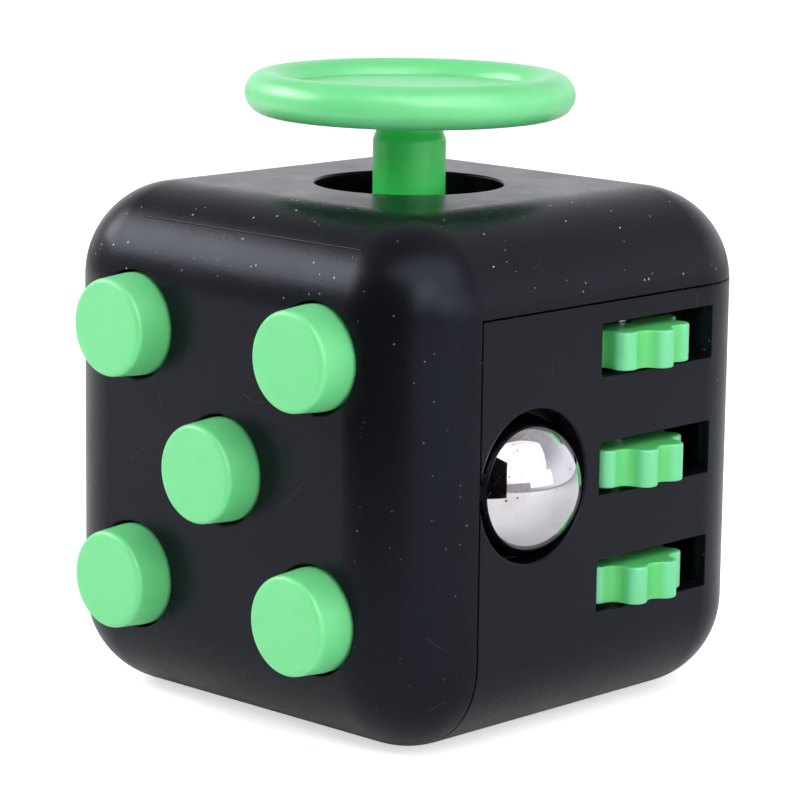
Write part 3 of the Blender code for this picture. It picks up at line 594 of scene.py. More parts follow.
def make_ball_finish():
    """Polished chrome steel with fine hairlines, pits and a film of dust."""
    steel = (0.66, 0.64, 0.67)
    finish = Finish("polished_steel_ball", steel, 1.0, 0.04)
    pits = finish.specks(0.4, 0.055, 0.12, 3.0)
    stained = finish.span(haze(finish), 0.56, 0.6)
    stains = finish.math("MULTIPLY", finish.specks(0.24, 0.09, 0.6, 8.0), stained)
    film = finish.mix(finish.span(haze(finish), 0.5, 0.72), steel, (0.55, 0.5, 0.47))
    finish.colour(finish.mix(finish.math("MAXIMUM", pits, stains), film, (0.13, 0.09, 0.07)))
    lines = finish.hairlines(2.4, 0.004, 0.5, 4.0)
    polish = finish.span(haze(finish), 0.35, 0.75, 0.025, 0.07)
    finish.roughness(finish.math("MAXIMUM", polish, finish.math("MULTIPLY", lines, 0.25)))
    finish.bump(finish.noise(0.9, 2.0, 0.5, 6.0), 0.0006)
    return finish.material


def make_metal_finish(name, colour, tarnish, roughness, spread, grain_depth):
    """A drawn, stamped or plated metal with blotches and a fine grain."""
    finish = Finish(name, colour, 1.0, roughness)
    blotches = finish.span(finish.noise(0.9, 4.0, 0.6, 2.0), 0.4, 0.7)
    finish.colour(finish.mix(blotches, colour, tarnish))
    wear = finish.noise(0.35, 3.0, 0.6, 5.0)
    finish.roughness(finish.span(wear, 0.3, 0.7, roughness - spread, roughness + spread))
    finish.bump(finish.noise(0.08, 2.0, 0.5, 7.0), grain_depth)
    return finish.material


def make_inner_plastic_finish():
    """Plain black moulding with ejector-blurred gloss and a coarse grain."""
    black = (0.011, 0.011, 0.013)
    finish = Finish("inner_black_plastic", black, 0.0, 0.5, 0.3)
    cloud = finish.span(finish.noise(3.5, 3.0, 0.5, 1.0), 0.35, 0.65)
    finish.colour(finish.mix(cloud, black, (0.016, 0.016, 0.018)))
    finish.roughness(finish.span(finish.noise(1.2, 3.0, 0.6, 3.0), 0.3, 0.7, 0.42, 0.6))
    finish.bump(finish.noise(0.2, 3.0, 0.6, 5.0), 0.012)
    return finish.material


def make_soft_finish(name, colour, shade, roughness, milk):
    """Milky silicone or nylon, with light scattering inside it."""
    finish = Finish(name, colour, 0.0, roughness, 0.4)
    cloud = finish.span(finish.noise(1.1, 3.0, 0.5, 2.0), 0.35, 0.65)
    finish.colour(finish.mix(cloud, colour, shade))
    finish.put(finish.shader, "Subsurface Weight", milk)
    finish.put(finish.shader, "Subsurface Radius", (1.0, 0.95, 0.9))
    finish.put(finish.shader, "Subsurface Scale", 0.5 * MM)
    wear = finish.noise(0.5, 2.0, 0.5, 4.0)
    finish.roughness(finish.span(wear, 0.3, 0.7, roughness - 0.08, roughness + 0.08))
    finish.bump(finish.noise(0.15, 2.0, 0.5, 6.0), 0.004)
    return finish.material


GREEN = (0.18, 0.72, 0.285)
GREEN_SHADE = (0.16, 0.69, 0.26)
# A painted shade tone: a deeper, more saturated green that stands in for the green in shade
GREEN_PAINTED_SHADE = (0.05, 0.9, 0.15)
STICK_TOP = box_mm("joystick")[1].z - middle_mm("stick_pin").z
# Where the joystick's painted shade ends: near the top of its disc, and beyond these radii from its axis, so
# the stem under the disc looks shaded
STICK_CROWN = (STICK_TOP - 2 * RIM_RADIUS, STICK_TOP - DISH_DEPTH)
STICK_SHADE_RADII = (2.4, 5.5)
STICK_GLOSS = (0.3, 0.36)
STICK_GREEN = make_green_finish(
    "stick_green", GREEN, GREEN_SHADE, GREEN_PAINTED_SHADE, STICK_SHADE_RADII, STICK_GLOSS, STICK_CROWN
)
# Radii within which the gear valleys get painted shade, a darker, more saturated copy of the gear green
GEAR_SHADE_RADII = (3.9, 4.4)
GEAR_GREEN = make_green_finish(
    "gear_green", (0.17, 0.68, 0.33), (0.15, 0.66, 0.29), (0.1, 0.62, 0.16), GEAR_SHADE_RADII
)
ZINC = (0.64, 0.65, 0.66)
ZINC_TARNISH = (0.5, 0.51, 0.5)
SPRING_STEEL = (0.62, 0.61, 0.6)
SPRING_TARNISH = (0.45, 0.43, 0.41)
FINISHES = {
    "black_shell": make_shell_finish(),
    "green_plastic": make_green_finish("green_plastic", GREEN, GREEN_SHADE),
    "inner_black_plastic": make_inner_plastic_finish(),
    "polished_steel_ball": make_ball_finish(),
    "spring_steel": make_metal_finish("spring_steel", SPRING_STEEL, SPRING_TARNISH, 0.28, 0.08, 0.002),
    "silicone": make_soft_finish("silicone", (0.75, 0.75, 0.73), (0.68, 0.68, 0.66), 0.5, 0.5),
    "pin_steel": make_metal_finish("pin_steel", (0.7, 0.7, 0.71), (0.55, 0.54, 0.53), 0.2, 0.06, 0.001),
    "zinc_plated_steel": make_metal_finish("zinc_plated_steel", ZINC, ZINC_TARNISH, 0.36, 0.1, 0.004),
    "white_nylon": make_soft_finish("white_nylon", (0.8, 0.79, 0.76), (0.74, 0.73, 0.69), 0.45, 0.35),
}


# Shells


def outer_normal(point):
    """The way out of the rounded cube at a point on its surface, from the cube's centre."""
    flat = HALF - EDGE_RADIUS
    nearest = Vector([min(max(value, -flat), flat) for value in point])
    return (point - nearest).normalized()


def set_outer_normals(obj):
    """Gives the cube's outside the normals of the true rounded cube, so that long flat faces shade evenly."""
    mesh = obj.data
    normals = []
    for face in mesh.polygons:
        corners = [mesh.vertices[index].co / MM for index in face.vertices]
        found = [outer_normal(corner) for corner in corners]
        flat = HALF - EDGE_RADIUS
        on_surface = True
        for corner, normal in zip(corners, found):
            nearest = Vector([min(max(value, -flat), flat) for value in corner])
            on_surface = on_surface and abs((corner - nearest).length - EDGE_RADIUS) < LIP / 10
        agrees = all(face.normal.dot(normal) > math.cos(SHARP_ANGLE / 2) for normal in found)
        if on_surface and agrees:
            normals.extend(found)
        else:
            normals.extend([ORIGIN] * len(corners))
    mesh.normals_split_custom_set(normals)


def cad_core(node):
    """The inside of a CAD shell: its bosses, tongues and pads with the inner part of its walls."""
    source = frame["nodes"][node].data
    bm = bmesh.new()
    bm.from_mesh(source)
    bmesh.ops.translate(bm, verts=bm.verts, vec=-CENTRE)
    bmesh.ops.scale(bm, vec=(1 / MM,) * 3, verts=bm.verts)
    bmesh.ops.remove_doubles(bm, verts=bm.verts, dist=MERGE)
    core = make_object("core", bm)
    limit = make_object("limit", rounded_cube(CORE_OUTSIDE, EDGE_RADIUS - HALF + CORE_OUTSIDE, 8))
    reshape(core, "INTERSECT", [limit])
    return core


def seam_block(offset):
    """The corner of space that holds the lower shell: the right, the back and the bottom of the cube."""
    return make_object("seam", block((-offset, -offset, -FAR), (FAR, FAR, offset)))


def make_skin(name, operation, offset):
    skin = make_object(name, rounded_cube(HALF, EDGE_RADIUS, EDGE_STEPS))
    reshape(skin, operation, [seam_block(offset)])
    inner = make_object("inner", rounded_cube(SKIN_INSIDE, EDGE_RADIUS - HALF + SKIN_INSIDE, 8))
    reshape(skin, "DIFFERENCE", [inner])
    return skin


def witness_line():
    """The thin raised line that the mould leaves along the rounded edge between the front and the top."""
    reach = EDGE_RADIUS + WITNESS_PROUD - WITNESS_RADIUS
    side = HALF - EDGE_RADIUS + reach * math.sqrt(0.5)
    return make_object("line", rod(WITNESS_RADIUS, *WITNESS_LINE, 16), (0, -side, side), X)


def make_upper_shell():
    shell = make_skin("upper_shell_fine", "DIFFERENCE", SEAM + SEAM_GAP / 2)
    reshape(shell, "UNION", [cad_core("upper_shell"), witness_line()])
    cuts = []
    for name in BUTTONS:
        place = middle_mm("button_" + name)
        hole = flared_rod(BUTTON_HOLE + CUT_OVERSIZE, HALF - 5, HALF, LIP)
        cuts.append(make_object("cut", hole, (place.x, 0, place.z), -Y))
    cuts.append(make_object("cut", flared_rod(STICK_HOLE + CUT_OVERSIZE, HALF - 2.5, HALF, LIP)))
    half_y, half_z = ROCKER_OPENING
    opening = flared_opening(half_z, half_y, 0.5, HALF - 2.5, HALF, LIP)
    cuts.append(make_object("cut", opening, ORIGIN, -X))
    reshape(shell, "DIFFERENCE", cuts)
    set_outer_normals(shell)
    finish_piece(shell, FINISHES["black_shell"], "root", ["upper_shell"])


def hollow_outline():
    """A shallow bowl with a rounded rim, as a cutter that opens upwards."""
    sphere = (HOLLOW_RADIUS**2 + HOLLOW_DEPTH**2) / (2 * HOLLOW_DEPTH)
    centre = (0, HALF - HOLLOW_DEPTH + sphere)
    rim = -math.acos(HOLLOW_RADIUS / sphere)
    bowl = arc(centre, sphere, -math.pi / 2, rim, 20)
    bowl[0] = (0, bowl[0][1])
    return bowl + [(HOLLOW_RADIUS, HALF + 1), (0, HALF + 1)]


def make_lower_shell():
    shell = make_skin("lower_shell_fine", "INTERSECT", SEAM - SEAM_GAP / 2)
    reshape(shell, "UNION", [cad_core("lower_shell")])
    cuts = [make_object("cut", turned(hollow_outline()), ORIGIN, -Z)]
    ball = middle_mm("steel_ball")
    ball_hole = flared_rod(BALL_HOLE + CUT_OVERSIZE, HALF - 5, HALF, LIP)
    cuts.append(make_object("cut", ball_hole, (0, ball.y, BALL_HOLE_HEIGHT), X))
    cuts.append(make_object("cut", rod(DIAL_HUB + 0.25 + CUT_OVERSIZE, HALF - 5, HALF + 1), ORIGIN, Y))
    half_y = (SLOT_Y[1] - SLOT_Y[0]) / 2 + CUT_OVERSIZE
    middle_y = sum(SLOT_Y) / 2
    for name in GEARS:
        height = middle_mm("gear_wheel_" + name).z + SLOT_RISE
        slot = flared_opening(SLOT_HEIGHT / 2 + CUT_OVERSIZE, half_y, 0.12, HALF - 2.5, HALF, SLOT_LIP)
        cuts.append(make_object("cut", slot, (0, middle_y, height), X))
    reshape(shell, "DIFFERENCE", cuts)
    set_outer_normals(shell)
    finish_piece(shell, FINISHES["black_shell"], "root", ["lower_shell"])


# Buttons


def make_buttons():
    for name in BUTTONS:
        node = "button_" + name
        low, high = box_mm(node)
        middle = (low + high) / 2
        front = -low.y
        flange_radius = (high.x - low.x) / 2
        flange_back = -high.y + STUD_LENGTH
        flange_front = flange_back + BUTTON_FLANGE_THICK
        dish = BUTTON_FRONT_RADIUS - BUTTON_EDGE
        edge = (dish, front - BUTTON_EDGE)
        outline = [
            (0, front - BUTTON_DISH),
            (dish * 0.25, front - BUTTON_DISH * 0.94),
            (dish * 0.5, front - BUTTON_DISH * 0.75),
            (dish * 0.75, front - BUTTON_DISH * 0.4),
            *arc(edge, BUTTON_EDGE, math.pi / 2, 0, 8),
            (BUTTON_RADIUS, HALF),
            (BUTTON_RADIUS, flange_front),
            (flange_radius - 0.1, flange_front),
            (flange_radius, flange_front - 0.1),
            (flange_radius, flange_back),
            (STUD_RADIUS, flange_back),
            (STUD_RADIUS, flange_back - STUD_LENGTH + 0.1),
            (STUD_RADIUS - 0.1, flange_back - STUD_LENGTH),
            (0, flange_back - STUD_LENGTH),
        ]
        cap = make_object(node + "_cap", turned(outline), (middle.x, 0, middle.z), -Y)
        finish_piece(cap, FINISHES["green_plastic"], node, [node])


def metal_dome(radius, height, sheet):
    """A thin pressed disc, domed towards the button."""
    sphere = (radius**2 + height**2) / (2 * height)
    rim = math.acos(radius / sphere)
    centre = (0, height - sphere)
    outer = arc(centre, sphere, math.pi / 2, rim, 12)
    inner = arc(centre, sphere - sheet, rim, math.pi / 2, 12)
    outer[0] = (0, outer[0][1])
    inner[-1] = (0, inner[-1][1])
    return outer + inner


def silicone_dome(radius, height):
    """A soft cone with a solid crown on a flat foot."""
    return [
        (0, height),
        (1.15, height),
        (1.3, height - 0.12),
        (2.3, 0.34),
        (2.45, 0.3),
        (radius - 0.05, 0.3),
        (radius, 0.25),
        (radius, 0),
        (2.0, 0),
        (1.1, 0.4),
        (0, 0.4),
    ]


def make_domes():
    for name in BUTTONS:
        node = "dome_" + name
        low, high = box_mm(node)
        middle = (low + high) / 2
        radius = (high.x - low.x) / 2
        height = high.y - low.y
        metal = "silicone" not in SLOTS[node]
        outline = metal_dome(radius, height, 0.16) if metal else silicone_dome(radius, height)
        foot = Vector((middle.x, high.y, middle.z))
        dome = make_object(node + "_fine", turned(outline), foot, -Y)
        finish_piece(dome, FINISHES[SLOTS[node]], "root", [node])
        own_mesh(dome)


# Joystick


def make_joystick():
    pivot = middle_mm("stick_pin")
    low, high = box_mm("joystick")
    disc_radius = (high.x - low.x) / 2
    top = high.z - pivot.z
    rim_centre = (disc_radius - RIM_RADIUS, top - RIM_RADIUS)
    underside = rim_centre[1] - RIM_RADIUS
    floor = top - DISH_DEPTH
    floor_angle = math.pi - math.asin((floor - rim_centre[1]) / RIM_RADIUS)
    fillet_centre = (STICK_NECK + STICK_FILLET, underside - STICK_FILLET)
    neck_low = underside - NECK_LENGTHS[1]
    neck_high = underside - NECK_LENGTHS[0]
    sweep = []
    for step in range(9):
        share = step / 8
        ease = share * share * (3 - 2 * share)
        radius = STICK_RADIUS + (STICK_NECK - STICK_RADIUS) * ease
        sweep.append((radius, neck_low + (neck_high - neck_low) * share))
    foot = low.z - pivot.z
    outline = [
        (0, foot),
        (STICK_RADIUS - 0.3, foot),
        (STICK_RADIUS, foot + 0.3),
        (STICK_RADIUS, FLANGE[0]),
        (FLANGE_RADIUS - 0.15, FLANGE[0]),
        (FLANGE_RADIUS, FLANGE[0] + 0.15),
        (FLANGE_RADIUS, FLANGE[1] - 0.15),
        (FLANGE_RADIUS - 0.15, FLANGE[1]),
        (STICK_RADIUS, FLANGE[1]),
        *sweep,
        *arc(fillet_centre, STICK_FILLET, math.pi, math.pi / 2, 6),
        *arc(rim_centre, RIM_RADIUS, -math.pi / 2, floor_angle, 40),
        (0, floor),
    ]
    stick = make_object("joystick_fine", turned(outline, 160), pivot)
    hole = make_object("cut", rod(STICK_PIN_HOLE, -FAR, FAR, 32), pivot, X)
    reshape(stick, "DIFFERENCE", [hole])
    finish_piece(stick, STICK_GREEN, "joystick", ["joystick"])


def make_joystick_spring():
    low, high = box_mm("joystick_spring")
    wire, turns = JOYSTICK_COIL
    radius = (high.x - low.x) / 2 - wire
    spring = make_object("joystick_spring_fine", coil(radius, wire, low.z, high.z, turns))
    finish_piece(spring, FINISHES["spring_steel"], None, ["joystick_spring"])
    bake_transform(spring)


# Steel ball


def make_ball():
    low, high = box_mm("steel_ball")
    middle = (low + high) / 2
    radius = (high.x - low.x) / 2
    outline = arc((0, 0), radius, -math.pi / 2, math.pi / 2, 64)
    outline[0] = (0, -radius)
    outline[-1] = (0, radius)
    ball = make_object("steel_ball_fine", turned(outline, 128), middle)
    finish_piece(ball, FINISHES["polished_steel_ball"], "ball", ["steel_ball"])


def make_carrier():
    """A cup round the ball whose lip is narrower than the ball, with a flange behind the wall."""
    ball = middle_mm("steel_ball")
    low, high = box_mm("ball_carrier")
    flange = (high.y - low.y) / 2
    back = low.x - ball.x
    front = high.x - ball.x
    flange_front = INSIDE - GAP - ball.x
    flange_back = flange_front - CARRIER_FLANGE_THICK
    start = math.asin(CARRIER_THROAT_FOOT / CARRIER_BORE)
    bore = arc((0, 0), CARRIER_BORE, start, -math.pi / 2, 24)
    bore[-1] = (0, -CARRIER_BORE)
    outline = [
        (0, back),
        (CARRIER_BODY - CARRIER_CHAMFER, back),
        (CARRIER_BODY, back + CARRIER_CHAMFER),
        (CARRIER_BODY, flange_back),
        (flange, flange_back),
        (flange, flange_front),
        (CARRIER_SNOUT, flange_front),
        (CARRIER_SNOUT, front - CARRIER_EDGE),
        (CARRIER_SNOUT - CARRIER_EDGE, front),
        (CARRIER_LIP + CARRIER_EDGE, front),
        (CARRIER_LIP, front - CARRIER_EDGE),
        CARRIER_THROAT,
        *bore,
    ]
    carrier = make_object("ball_carrier_fine", turned(outline), ball, X)
    black = "inner_black_plastic"
    finish_piece(carrier, FINISHES[black], "ball_carrier", ["ball_carrier"])


def make_ball_spring():
    low, high = box_mm("ball_spring")
    middle = (low + high) / 2
    wire, turns = BALL_COIL
    radius = (high.y - low.y) / 2 - wire
    foot = Vector((0, middle.y, middle.z))
    spring = make_object("ball_spring_fine", coil(radius, wire, low.x, high.x, turns), foot, X)
    finish_piece(spring, FINISHES["spring_steel"], "root", ["ball_spring"])
    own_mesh(spring)


# Gear wheels


def gear_outline(inset):
    """Rounded lobes round a circle, drawn in by inset."""
    points = []
    count = GEAR_LOBES * 24
    middle = (GEAR_PEAK + GEAR_VALLEY) / 2 - inset
    swing = (GEAR_PEAK - GEAR_VALLEY) / 2
    for step in range(count):
        angle = math.tau * step / count
        wave = math.cos(GEAR_LOBES * angle)
        radius = middle + swing * math.copysign(abs(wave) ** GEAR_SQUARENESS, wave)
        points.append((radius * math.cos(angle), radius * math.sin(angle)))
    return points


def make_gears():
    for name in GEARS:
        node = "gear_wheel_" + name
        low, high = box_mm(node)
        half = (high.z - low.z) / 2
        levels = []
        for inset, height in arc((GEAR_EDGE, -half + GEAR_EDGE), GEAR_EDGE, -math.pi / 2, -math.pi, 5):
            levels.append((height, gear_outline(inset)))
        for inset, height in arc((GEAR_EDGE, half - GEAR_EDGE), GEAR_EDGE, math.pi, math.pi / 2, 5):
            levels.append((height, gear_outline(inset)))
        axis = middle_mm("gear_axle")
        place = Vector((axis.x, axis.y, (low.z + high.z) / 2))
        gear = make_object(node + "_fine", lofted(levels), place)
        gear.rotation_euler.z = GEAR_TURN[name]
        reshape(gear, "DIFFERENCE", [make_object("cut", rod(GEAR_BORE, -FAR, FAR, 48), place)])
        settle(gear)
        finish_piece(gear, GEAR_GREEN, "gear_" + name, [node])


# Rocker switch


def rocker_outline():
    """The level rocker from the side: two flats that meet in a shallow V, round ends and a keel behind."""
    flat_distance = HALF + middle_mm("rocker_pin").x - ROCKER_SINK
    corner = math.acos(flat_distance / ROCKER_END_RADIUS) - ROCKER_TILT
    valley = flat_distance / math.cos(ROCKER_TILT)
    end = arc((0, 0), ROCKER_END_RADIUS, math.pi - corner, math.pi - ROCKER_END_ANGLE, 16)
    lower_end = [(x, -z) for x, z in reversed(end)]
    back = [(ROCKER_BACK, ROCKER_BACK_HALF), (ROCKER_BACK, -ROCKER_BACK_HALF)]
    return [(-valley, 0)] + end + back + lower_end


def make_rocker():
    pivot = middle_mm("rocker_pin")
    outline = [(x, -z) for x, z in rocker_outline()]
    body = lofted([(-ROCKER_HALF_WIDTH, outline), (ROCKER_HALF_WIDTH, outline)])
    bmesh.ops.recalc_face_normals(body, faces=body.faces)
    caps = [face for face in body.faces if abs(face.normal.z) > 0.9]
    rims = list({edge for face in caps for edge in face.edges})
    bevel = {"segments": 5, "profile": 0.5, "affect": "EDGES", "clamp_overlap": True}
    bmesh.ops.bevel(body, geom=rims, offset=ROCKER_EDGE, **bevel)
    bmesh.ops.remove_doubles(body, verts=body.verts, dist=ROCKER_WELD)
    rocker = make_object("rocker_fine", body, pivot, Y)
    tube = make_object("tool", rod(ROCKER_TUBE, ROCKER_BACK - ROCKER_TUBE_OVERLAP, ROCKER_TUBE_END), pivot, X)
    bore = make_object("tool", rod(ROCKER_BORE[0], ROCKER_BORE[1], FAR), pivot, X)
    pin_hole = make_object("tool", rod(ROCKER_PIN_HOLE, -FAR, FAR, 36), pivot, Y)
    pose_rocker([rocker, tube, bore, pin_hole], pivot)
    reshape(rocker, "DIFFERENCE", [pin_hole])
    reshape(rocker, "UNION", [tube])
    reshape(rocker, "DIFFERENCE", [bore])
    settle(rocker)
    finish_piece(rocker, FINISHES["green_plastic"], "rocker", ["rocker"])


def pose_rocker(objects, pivot):
    """Turns objects about the rocker's pin to the angle that it rests at."""
    centre = CENTRE + pivot * MM
    turn = Matrix.Translation(centre) @ Matrix.Rotation(-ROCKER_TILT, 4, "Y") @ Matrix.Translation(-centre)
    bpy.context.view_layer.update()
    for obj in objects:
        obj.matrix_world = turn @ obj.matrix_world
    bpy.context.view_layer.update()


def make_rocker_inside():
    pivot = middle_mm("rocker_pin")
    tip = arc((0, PLUNGER_SHOULDER), PLUNGER_RADIUS, 0, math.pi / 2, 10)
    tip[-1] = (0, PLUNGER_SHOULDER + PLUNGER_RADIUS)
    outline = [
        (0, PLUNGER_FOOT),
        (PLUNGER_RADIUS - PLUNGER_CHAMFER, PLUNGER_FOOT),
        (PLUNGER_RADIUS, PLUNGER_FOOT + PLUNGER_CHAMFER),
        *tip,
    ]
    plunger = make_object("rocker_plunger_fine", turned(outline), pivot, X)
    wire, turns = ROCKER_COIL
    wound = coil(ROCKER_COIL_RADIUS, wire, *ROCKER_COIL_ENDS, turns)
    spring = make_object("rocker_spring_fine", wound, pivot, X)
    pose_rocker([plunger, spring], pivot)
    finish_piece(plunger, FINISHES["white_nylon"], "rocker", ["rocker_plunger"])
    finish_piece(spring, FINISHES["spring_steel"], "rocker", ["rocker_spring"])


# Dial


def make_dial():
    low, high = box_mm("dial")
    radius = (high.x - low.x) / 2
    front = high.y
    hub_end = low.y
    back = HALF + GAP
    outline = [
        (0, hub_end),
        (DIAL_HUB - DIAL_CHAMFER, hub_end),
        (DIAL_HUB, hub_end + DIAL_CHAMFER),
        (DIAL_HUB, back),
        (radius - DIAL_CHAMFER, back),
        (radius, back + DIAL_CHAMFER),
        *arc((radius - DIAL_EDGE, front - DIAL_EDGE), DIAL_EDGE, 0, math.pi / 2, 10),
        (0, front),
    ]
    dial = make_object("dial_fine", turned(outline, 160), ORIGIN, Y)
    place, dimple_radius, depth = DIAL_DIMPLE
    sphere = (dimple_radius**2 + depth**2) / (2 * depth)
    ball = arc((0, 0), sphere, -math.pi / 2, math.pi / 2, 48)
    ball[0] = (0, -sphere)
    ball[-1] = (0, sphere)
    dimple = make_object("cut", turned(ball), (0, front + sphere - depth, place))
    hole = make_object("cut", rod(DIAL_SCREW_HOLE[0], 0, DIAL_SCREW_HOLE[1]), ORIGIN, Y)
    reshape(dial, "DIFFERENCE", [dimple, hole])
    finish_piece(dial, FINISHES["green_plastic"], "dial", ["dial"])


# Screws


def threaded_screw(head_radius, length, head_height=0.9, shank=0.7, pitch=0.6, depth=0.16):
    """A pan-head screw along +Z from the top of its head at 0, with a thread down to its point."""
    sides = 24
    rows_per_turn = 8
    point = 0.5
    bm = bmesh.new()
    rounding = arc((head_radius - 0.3, 0.3), 0.3, -math.pi / 2, 0, 5)
    profile = [(radius, height) for radius, height in rounding]
    profile += [(head_radius, head_height - 0.1), (head_radius - 0.1, head_height)]
    rows = [[(radius, height)] * sides for radius, height in profile]
    count = round((length - head_height) / pitch * rows_per_turn)
    for row in range(count + 1):
        height = head_height + (length - head_height) * row / count
        left = length - height
        taper = min(left / point, 1)
        ring = []
        for side in range(sides):
            turn = (height - head_height) / pitch - side / sides
            ridge = abs(2 * (turn - math.floor(turn)) - 1)
            ring.append(((shank - depth + depth * ridge) * max(taper, 0.08), height))
        rows.append(ring)
    rings = []
    for row in rows:
        ring = []
        for side, (radius, height) in enumerate(row):
            angle = math.tau * side / sides
            ring.append(bm.verts.new((radius * math.cos(angle), radius * math.sin(angle), height)))
        rings.append(ring)
    for low, high in zip(rings, rings[1:]):
        for side in range(sides):
            after = (side + 1) % sides
            bm.faces.new((low[side], low[after], high[after], high[side]))
    bm.faces.new(rings[0])
    bm.faces.new(rings[-1])
    return bm


def cross_recess(width, length, depth):
    """Two crossed, tapered slots for a cross-head driver."""
    tools = []
    for half_x, half_y in ((width, length), (length, width)):
        mouth = rounded_rectangle(half_x, half_y, 0.05)
        foot = rounded_rectangle(half_x * 0.6, half_y * 0.55, 0.03)
        top = [(x * 1.05, y * 1.05) for x, y in mouth]
        tools.append(lofted([(-0.5, top), (0, mouth), (depth, foot)]))
    return tools


# Each family of screws and the way it is driven in
SCREWS = {
    "button_plate": -Y,
    "yoke": Z,
    "ball_bracket": X,
    "gear_bracket": X,
    "rocker_bracket": -X,
    "dial": Y,
}


def make_screws():
    for node in frame["nodes"]:
        family = node.split("_screw")[0]
        if "_screw" not in node:
            continue
        into = SCREWS[family]
        low, high = box_mm(node)
        middle = (low + high) / 2
        size = high - low
        length = abs(size.dot(into))
        head_radius = min(size.x, size.y, size.z) / 2
        top = middle - into * length / 2
        screw = make_object(node + "_fine", threaded_screw(head_radius, length), top, into)
        scale = head_radius / 1.3
        tools = []
        for tool in cross_recess(0.14 * scale, 0.72 * scale, 0.55):
            tools.append(make_object("tool", tool, top, into))
        reshape(screw, "DIFFERENCE", tools)
        body = "dial" if family == "dial" else "root"
        finish_piece(screw, FINISHES["zinc_plated_steel"], body, [node])


# CAD nodes that keep their shape


def finish_cad_nodes():
    for name, obj in frame["nodes"].items():
        if obj.hide_render:
            continue
        for place in range(len(obj.data.materials)):
            obj.data.materials[place] = FINISHES[SLOTS[name]]


# Stage


FLOOR_REACH = 4000
FLOOR_DROP = 0.02
FLOOR_GLOW = (0.05, 0.6)
FLAG_CORNERS = ((-42, -75, -HALF), (72, -74, 84))
GLOW_AIM = (66, 44)
GLOW_DISTANCE = 340
GLOW_CORNERS = ((-290, -220, 0), (290, 220, 1))
GLOW_STRENGTH = 0.9
BACKDROP_STRENGTH = 1.05
# The room's brightness along each axis: where the change starts and ends, and the strengths there
ROOM_RAMPS = {"Z": (0.2, 0.7, 1.0, 0.5), "Y": (-0.4, 0.7, 0.55, 1.2)}
# Softboxes: azimuth, elevation, distance, size and power
SOFTBOXES = {
    "softbox_left": (-58, 31, 300, (240, 110), 0.56),
    "softbox_right": (62, 42, 320, (420, 310), 0.6),
    "hot_right": (60, 36, 300, (100, 80), 0.07),
    "low_right": (96, 13, 320, (220, 110), 0.08),
}


def outward(azimuth, elevation):
    """The direction from the cube to a place round it. Azimuth 0 is in front, along -Y, and 90 on +X."""
    level = math.cos(elevation)
    return Vector((math.sin(azimuth) * level, -math.cos(azimuth) * level, math.sin(elevation)))


def show_in_reflections_only(panel):
    panel.visible_camera = False
    panel.visible_diffuse = False
    panel.visible_shadow = False


def make_floor():
    bm = bmesh.new()
    bmesh.ops.create_grid(bm, x_segments=8, y_segments=8, size=FLOOR_REACH)
    floor = make_object("floor", bm, Z * (-HALF - FLOOR_DROP))
    finish = Finish("pale_floor", (0.93, 0.93, 0.93), 0.0, 0.8, 0.1)
    paper = finish.noise(0.6, 4.0, 0.6)
    finish.colour(finish.mix(finish.span(paper, 0.3, 0.7), (0.93, 0.93, 0.93), (0.94, 0.94, 0.945)))
    finish.bump(paper, 0.01)
    finish.put(finish.shader, "Emission Color", (1, 1, 1, 1))
    path = finish.add("LightPath")
    glow = finish.span(path.outputs["Is Camera Ray"], 0, 1, *FLOOR_GLOW)
    finish.put(finish.shader, "Emission Strength", glow)
    floor.data.materials.append(finish.material)


def make_flag():
    """A black panel that only shows in reflections, as a studio uses to keep glossy sides dark."""
    flag = make_object("black_flag", block(*FLAG_CORNERS))
    flag.data.materials.append(Finish("flag_cloth", (0.004, 0.004, 0.004), 0.0, 0.9, 0.0).material)
    show_in_reflections_only(flag)


def make_glow():
    """A pale panel behind the right softbox that only shows in reflections, as its diffuser's edge does."""
    towards = outward(*map(math.radians, GLOW_AIM))
    panel = make_object("glow_panel", block(*GLOW_CORNERS), towards * GLOW_DISTANCE)
    panel.rotation_euler = towards.to_track_quat("Z", "Y").to_euler()
    finish = Finish("glow_cloth", (0.8, 0.8, 0.8), 0.0, 0.9, 0.0)
    finish.put(finish.shader, "Emission Color", (1, 0.98, 0.97, 1))
    finish.put(finish.shader, "Emission Strength", GLOW_STRENGTH)
    panel.data.materials.append(finish.material)
    show_in_reflections_only(panel)


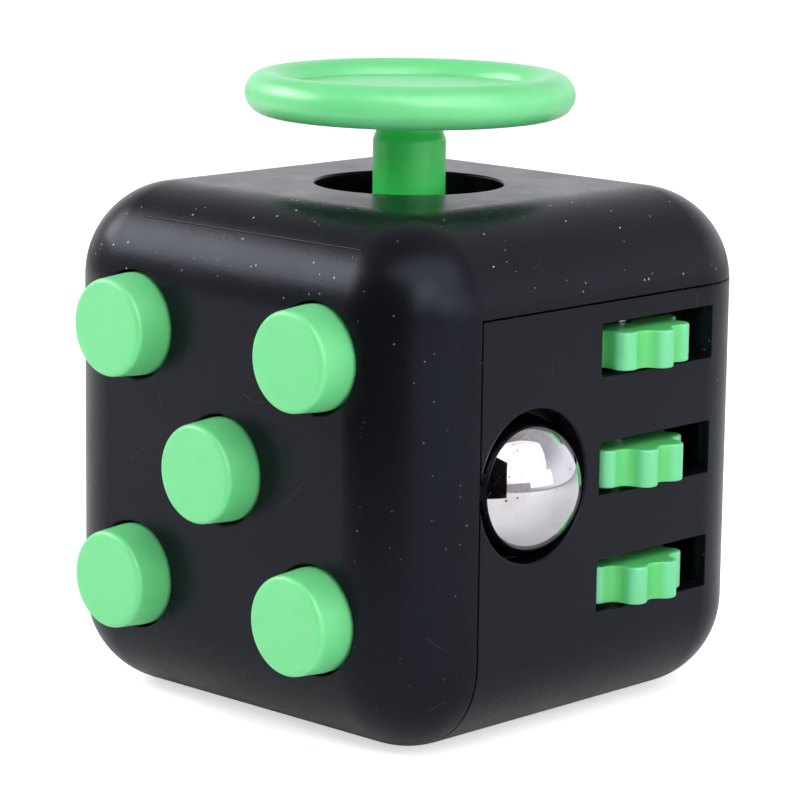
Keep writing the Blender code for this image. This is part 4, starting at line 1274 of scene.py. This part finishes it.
def make_world():
    """A soft room that is brighter behind and below, and plain white where the camera sees it directly."""
    world = bpy.data.worlds.new("studio")
    world.use_nodes = True
    nodes = world.node_tree.nodes
    links = world.node_tree.links
    light = nodes["Background"]
    direction = nodes.new("ShaderNodeTexCoord")
    parts = nodes.new("ShaderNodeSeparateXYZ")
    links.new(direction.outputs["Generated"], parts.inputs[0])
    factors = []
    for axis, limits in ROOM_RAMPS.items():
        ramp = nodes.new("ShaderNodeMapRange")
        ramp.interpolation_type = "SMOOTHSTEP"
        links.new(parts.outputs[axis], ramp.inputs["Value"])
        for place, value in enumerate(limits, 1):
            ramp.inputs[place].default_value = value
        factors.append(ramp.outputs["Result"])
    strength = nodes.new("ShaderNodeMath")
    strength.operation = "MULTIPLY"
    for place, factor in enumerate(factors):
        links.new(factor, strength.inputs[place])
    links.new(strength.outputs[0], light.inputs["Strength"])
    light.inputs["Color"].default_value = (0.95, 0.94, 1.0, 1)
    seen = nodes.new("ShaderNodeBackground")
    seen.inputs["Color"].default_value = (1, 1, 1, 1)
    seen.inputs["Strength"].default_value = BACKDROP_STRENGTH
    path = nodes.new("ShaderNodeLightPath")
    choice = nodes.new("ShaderNodeMixShader")
    links.new(path.outputs["Is Camera Ray"], choice.inputs[0])
    links.new(light.outputs[0], choice.inputs[1])
    links.new(seen.outputs[0], choice.inputs[2])
    links.new(choice.outputs[0], nodes["World Output"].inputs["Surface"])
    bpy.context.scene.world = world


def add_light(name, azimuth, elevation, distance, size, power):
    """A rectangular softbox that points at the cube's centre."""
    back = outward(math.radians(azimuth), math.radians(elevation))
    data = bpy.data.lights.new(name, "AREA")
    data.shape = "RECTANGLE"
    data.size, data.size_y = (side * MM for side in size)
    data.energy = power
    light = bpy.data.objects.new(name, data)
    light.location = CENTRE + back * distance * MM
    light.rotation_euler = back.to_track_quat("Z", "Y").to_euler()
    bpy.context.scene.collection.objects.link(light)


def make_camera():
    back = outward(CAMERA_AZIMUTH, CAMERA_ELEVATION)
    level = Z.cross(back).normalized()
    rise = back.cross(level)
    right = level * math.cos(CAMERA_ROLL) + rise * math.sin(CAMERA_ROLL)
    up = rise * math.cos(CAMERA_ROLL) - level * math.sin(CAMERA_ROLL)
    place = back * CAMERA_DISTANCE + right * CAMERA_ASIDE + up * CAMERA_UP
    data = bpy.data.cameras.new("camera")
    data.sensor_width = CAMERA_SENSOR
    data.lens = CAMERA_LENS
    data.clip_start = 0.01
    data.clip_end = 20
    camera = bpy.data.objects.new("camera", data)
    matrix = Matrix((right, up, back)).transposed().to_4x4()
    matrix.translation = CENTRE + place * MM
    camera.matrix_world = matrix
    bpy.context.scene.collection.objects.link(camera)
    bpy.context.scene.camera = camera


make_upper_shell()
make_lower_shell()
make_buttons()
make_domes()
make_joystick()
make_joystick_spring()
make_ball()
make_carrier()
make_ball_spring()
make_gears()
make_rocker()
make_rocker_inside()
make_dial()
make_screws()
finish_cad_nodes()

make_floor()
make_flag()
make_glow()
make_world()
for name, settings in SOFTBOXES.items():
    add_light(name, *settings)
make_camera()
bpy.context.scene.view_settings.view_transform = "Standard"
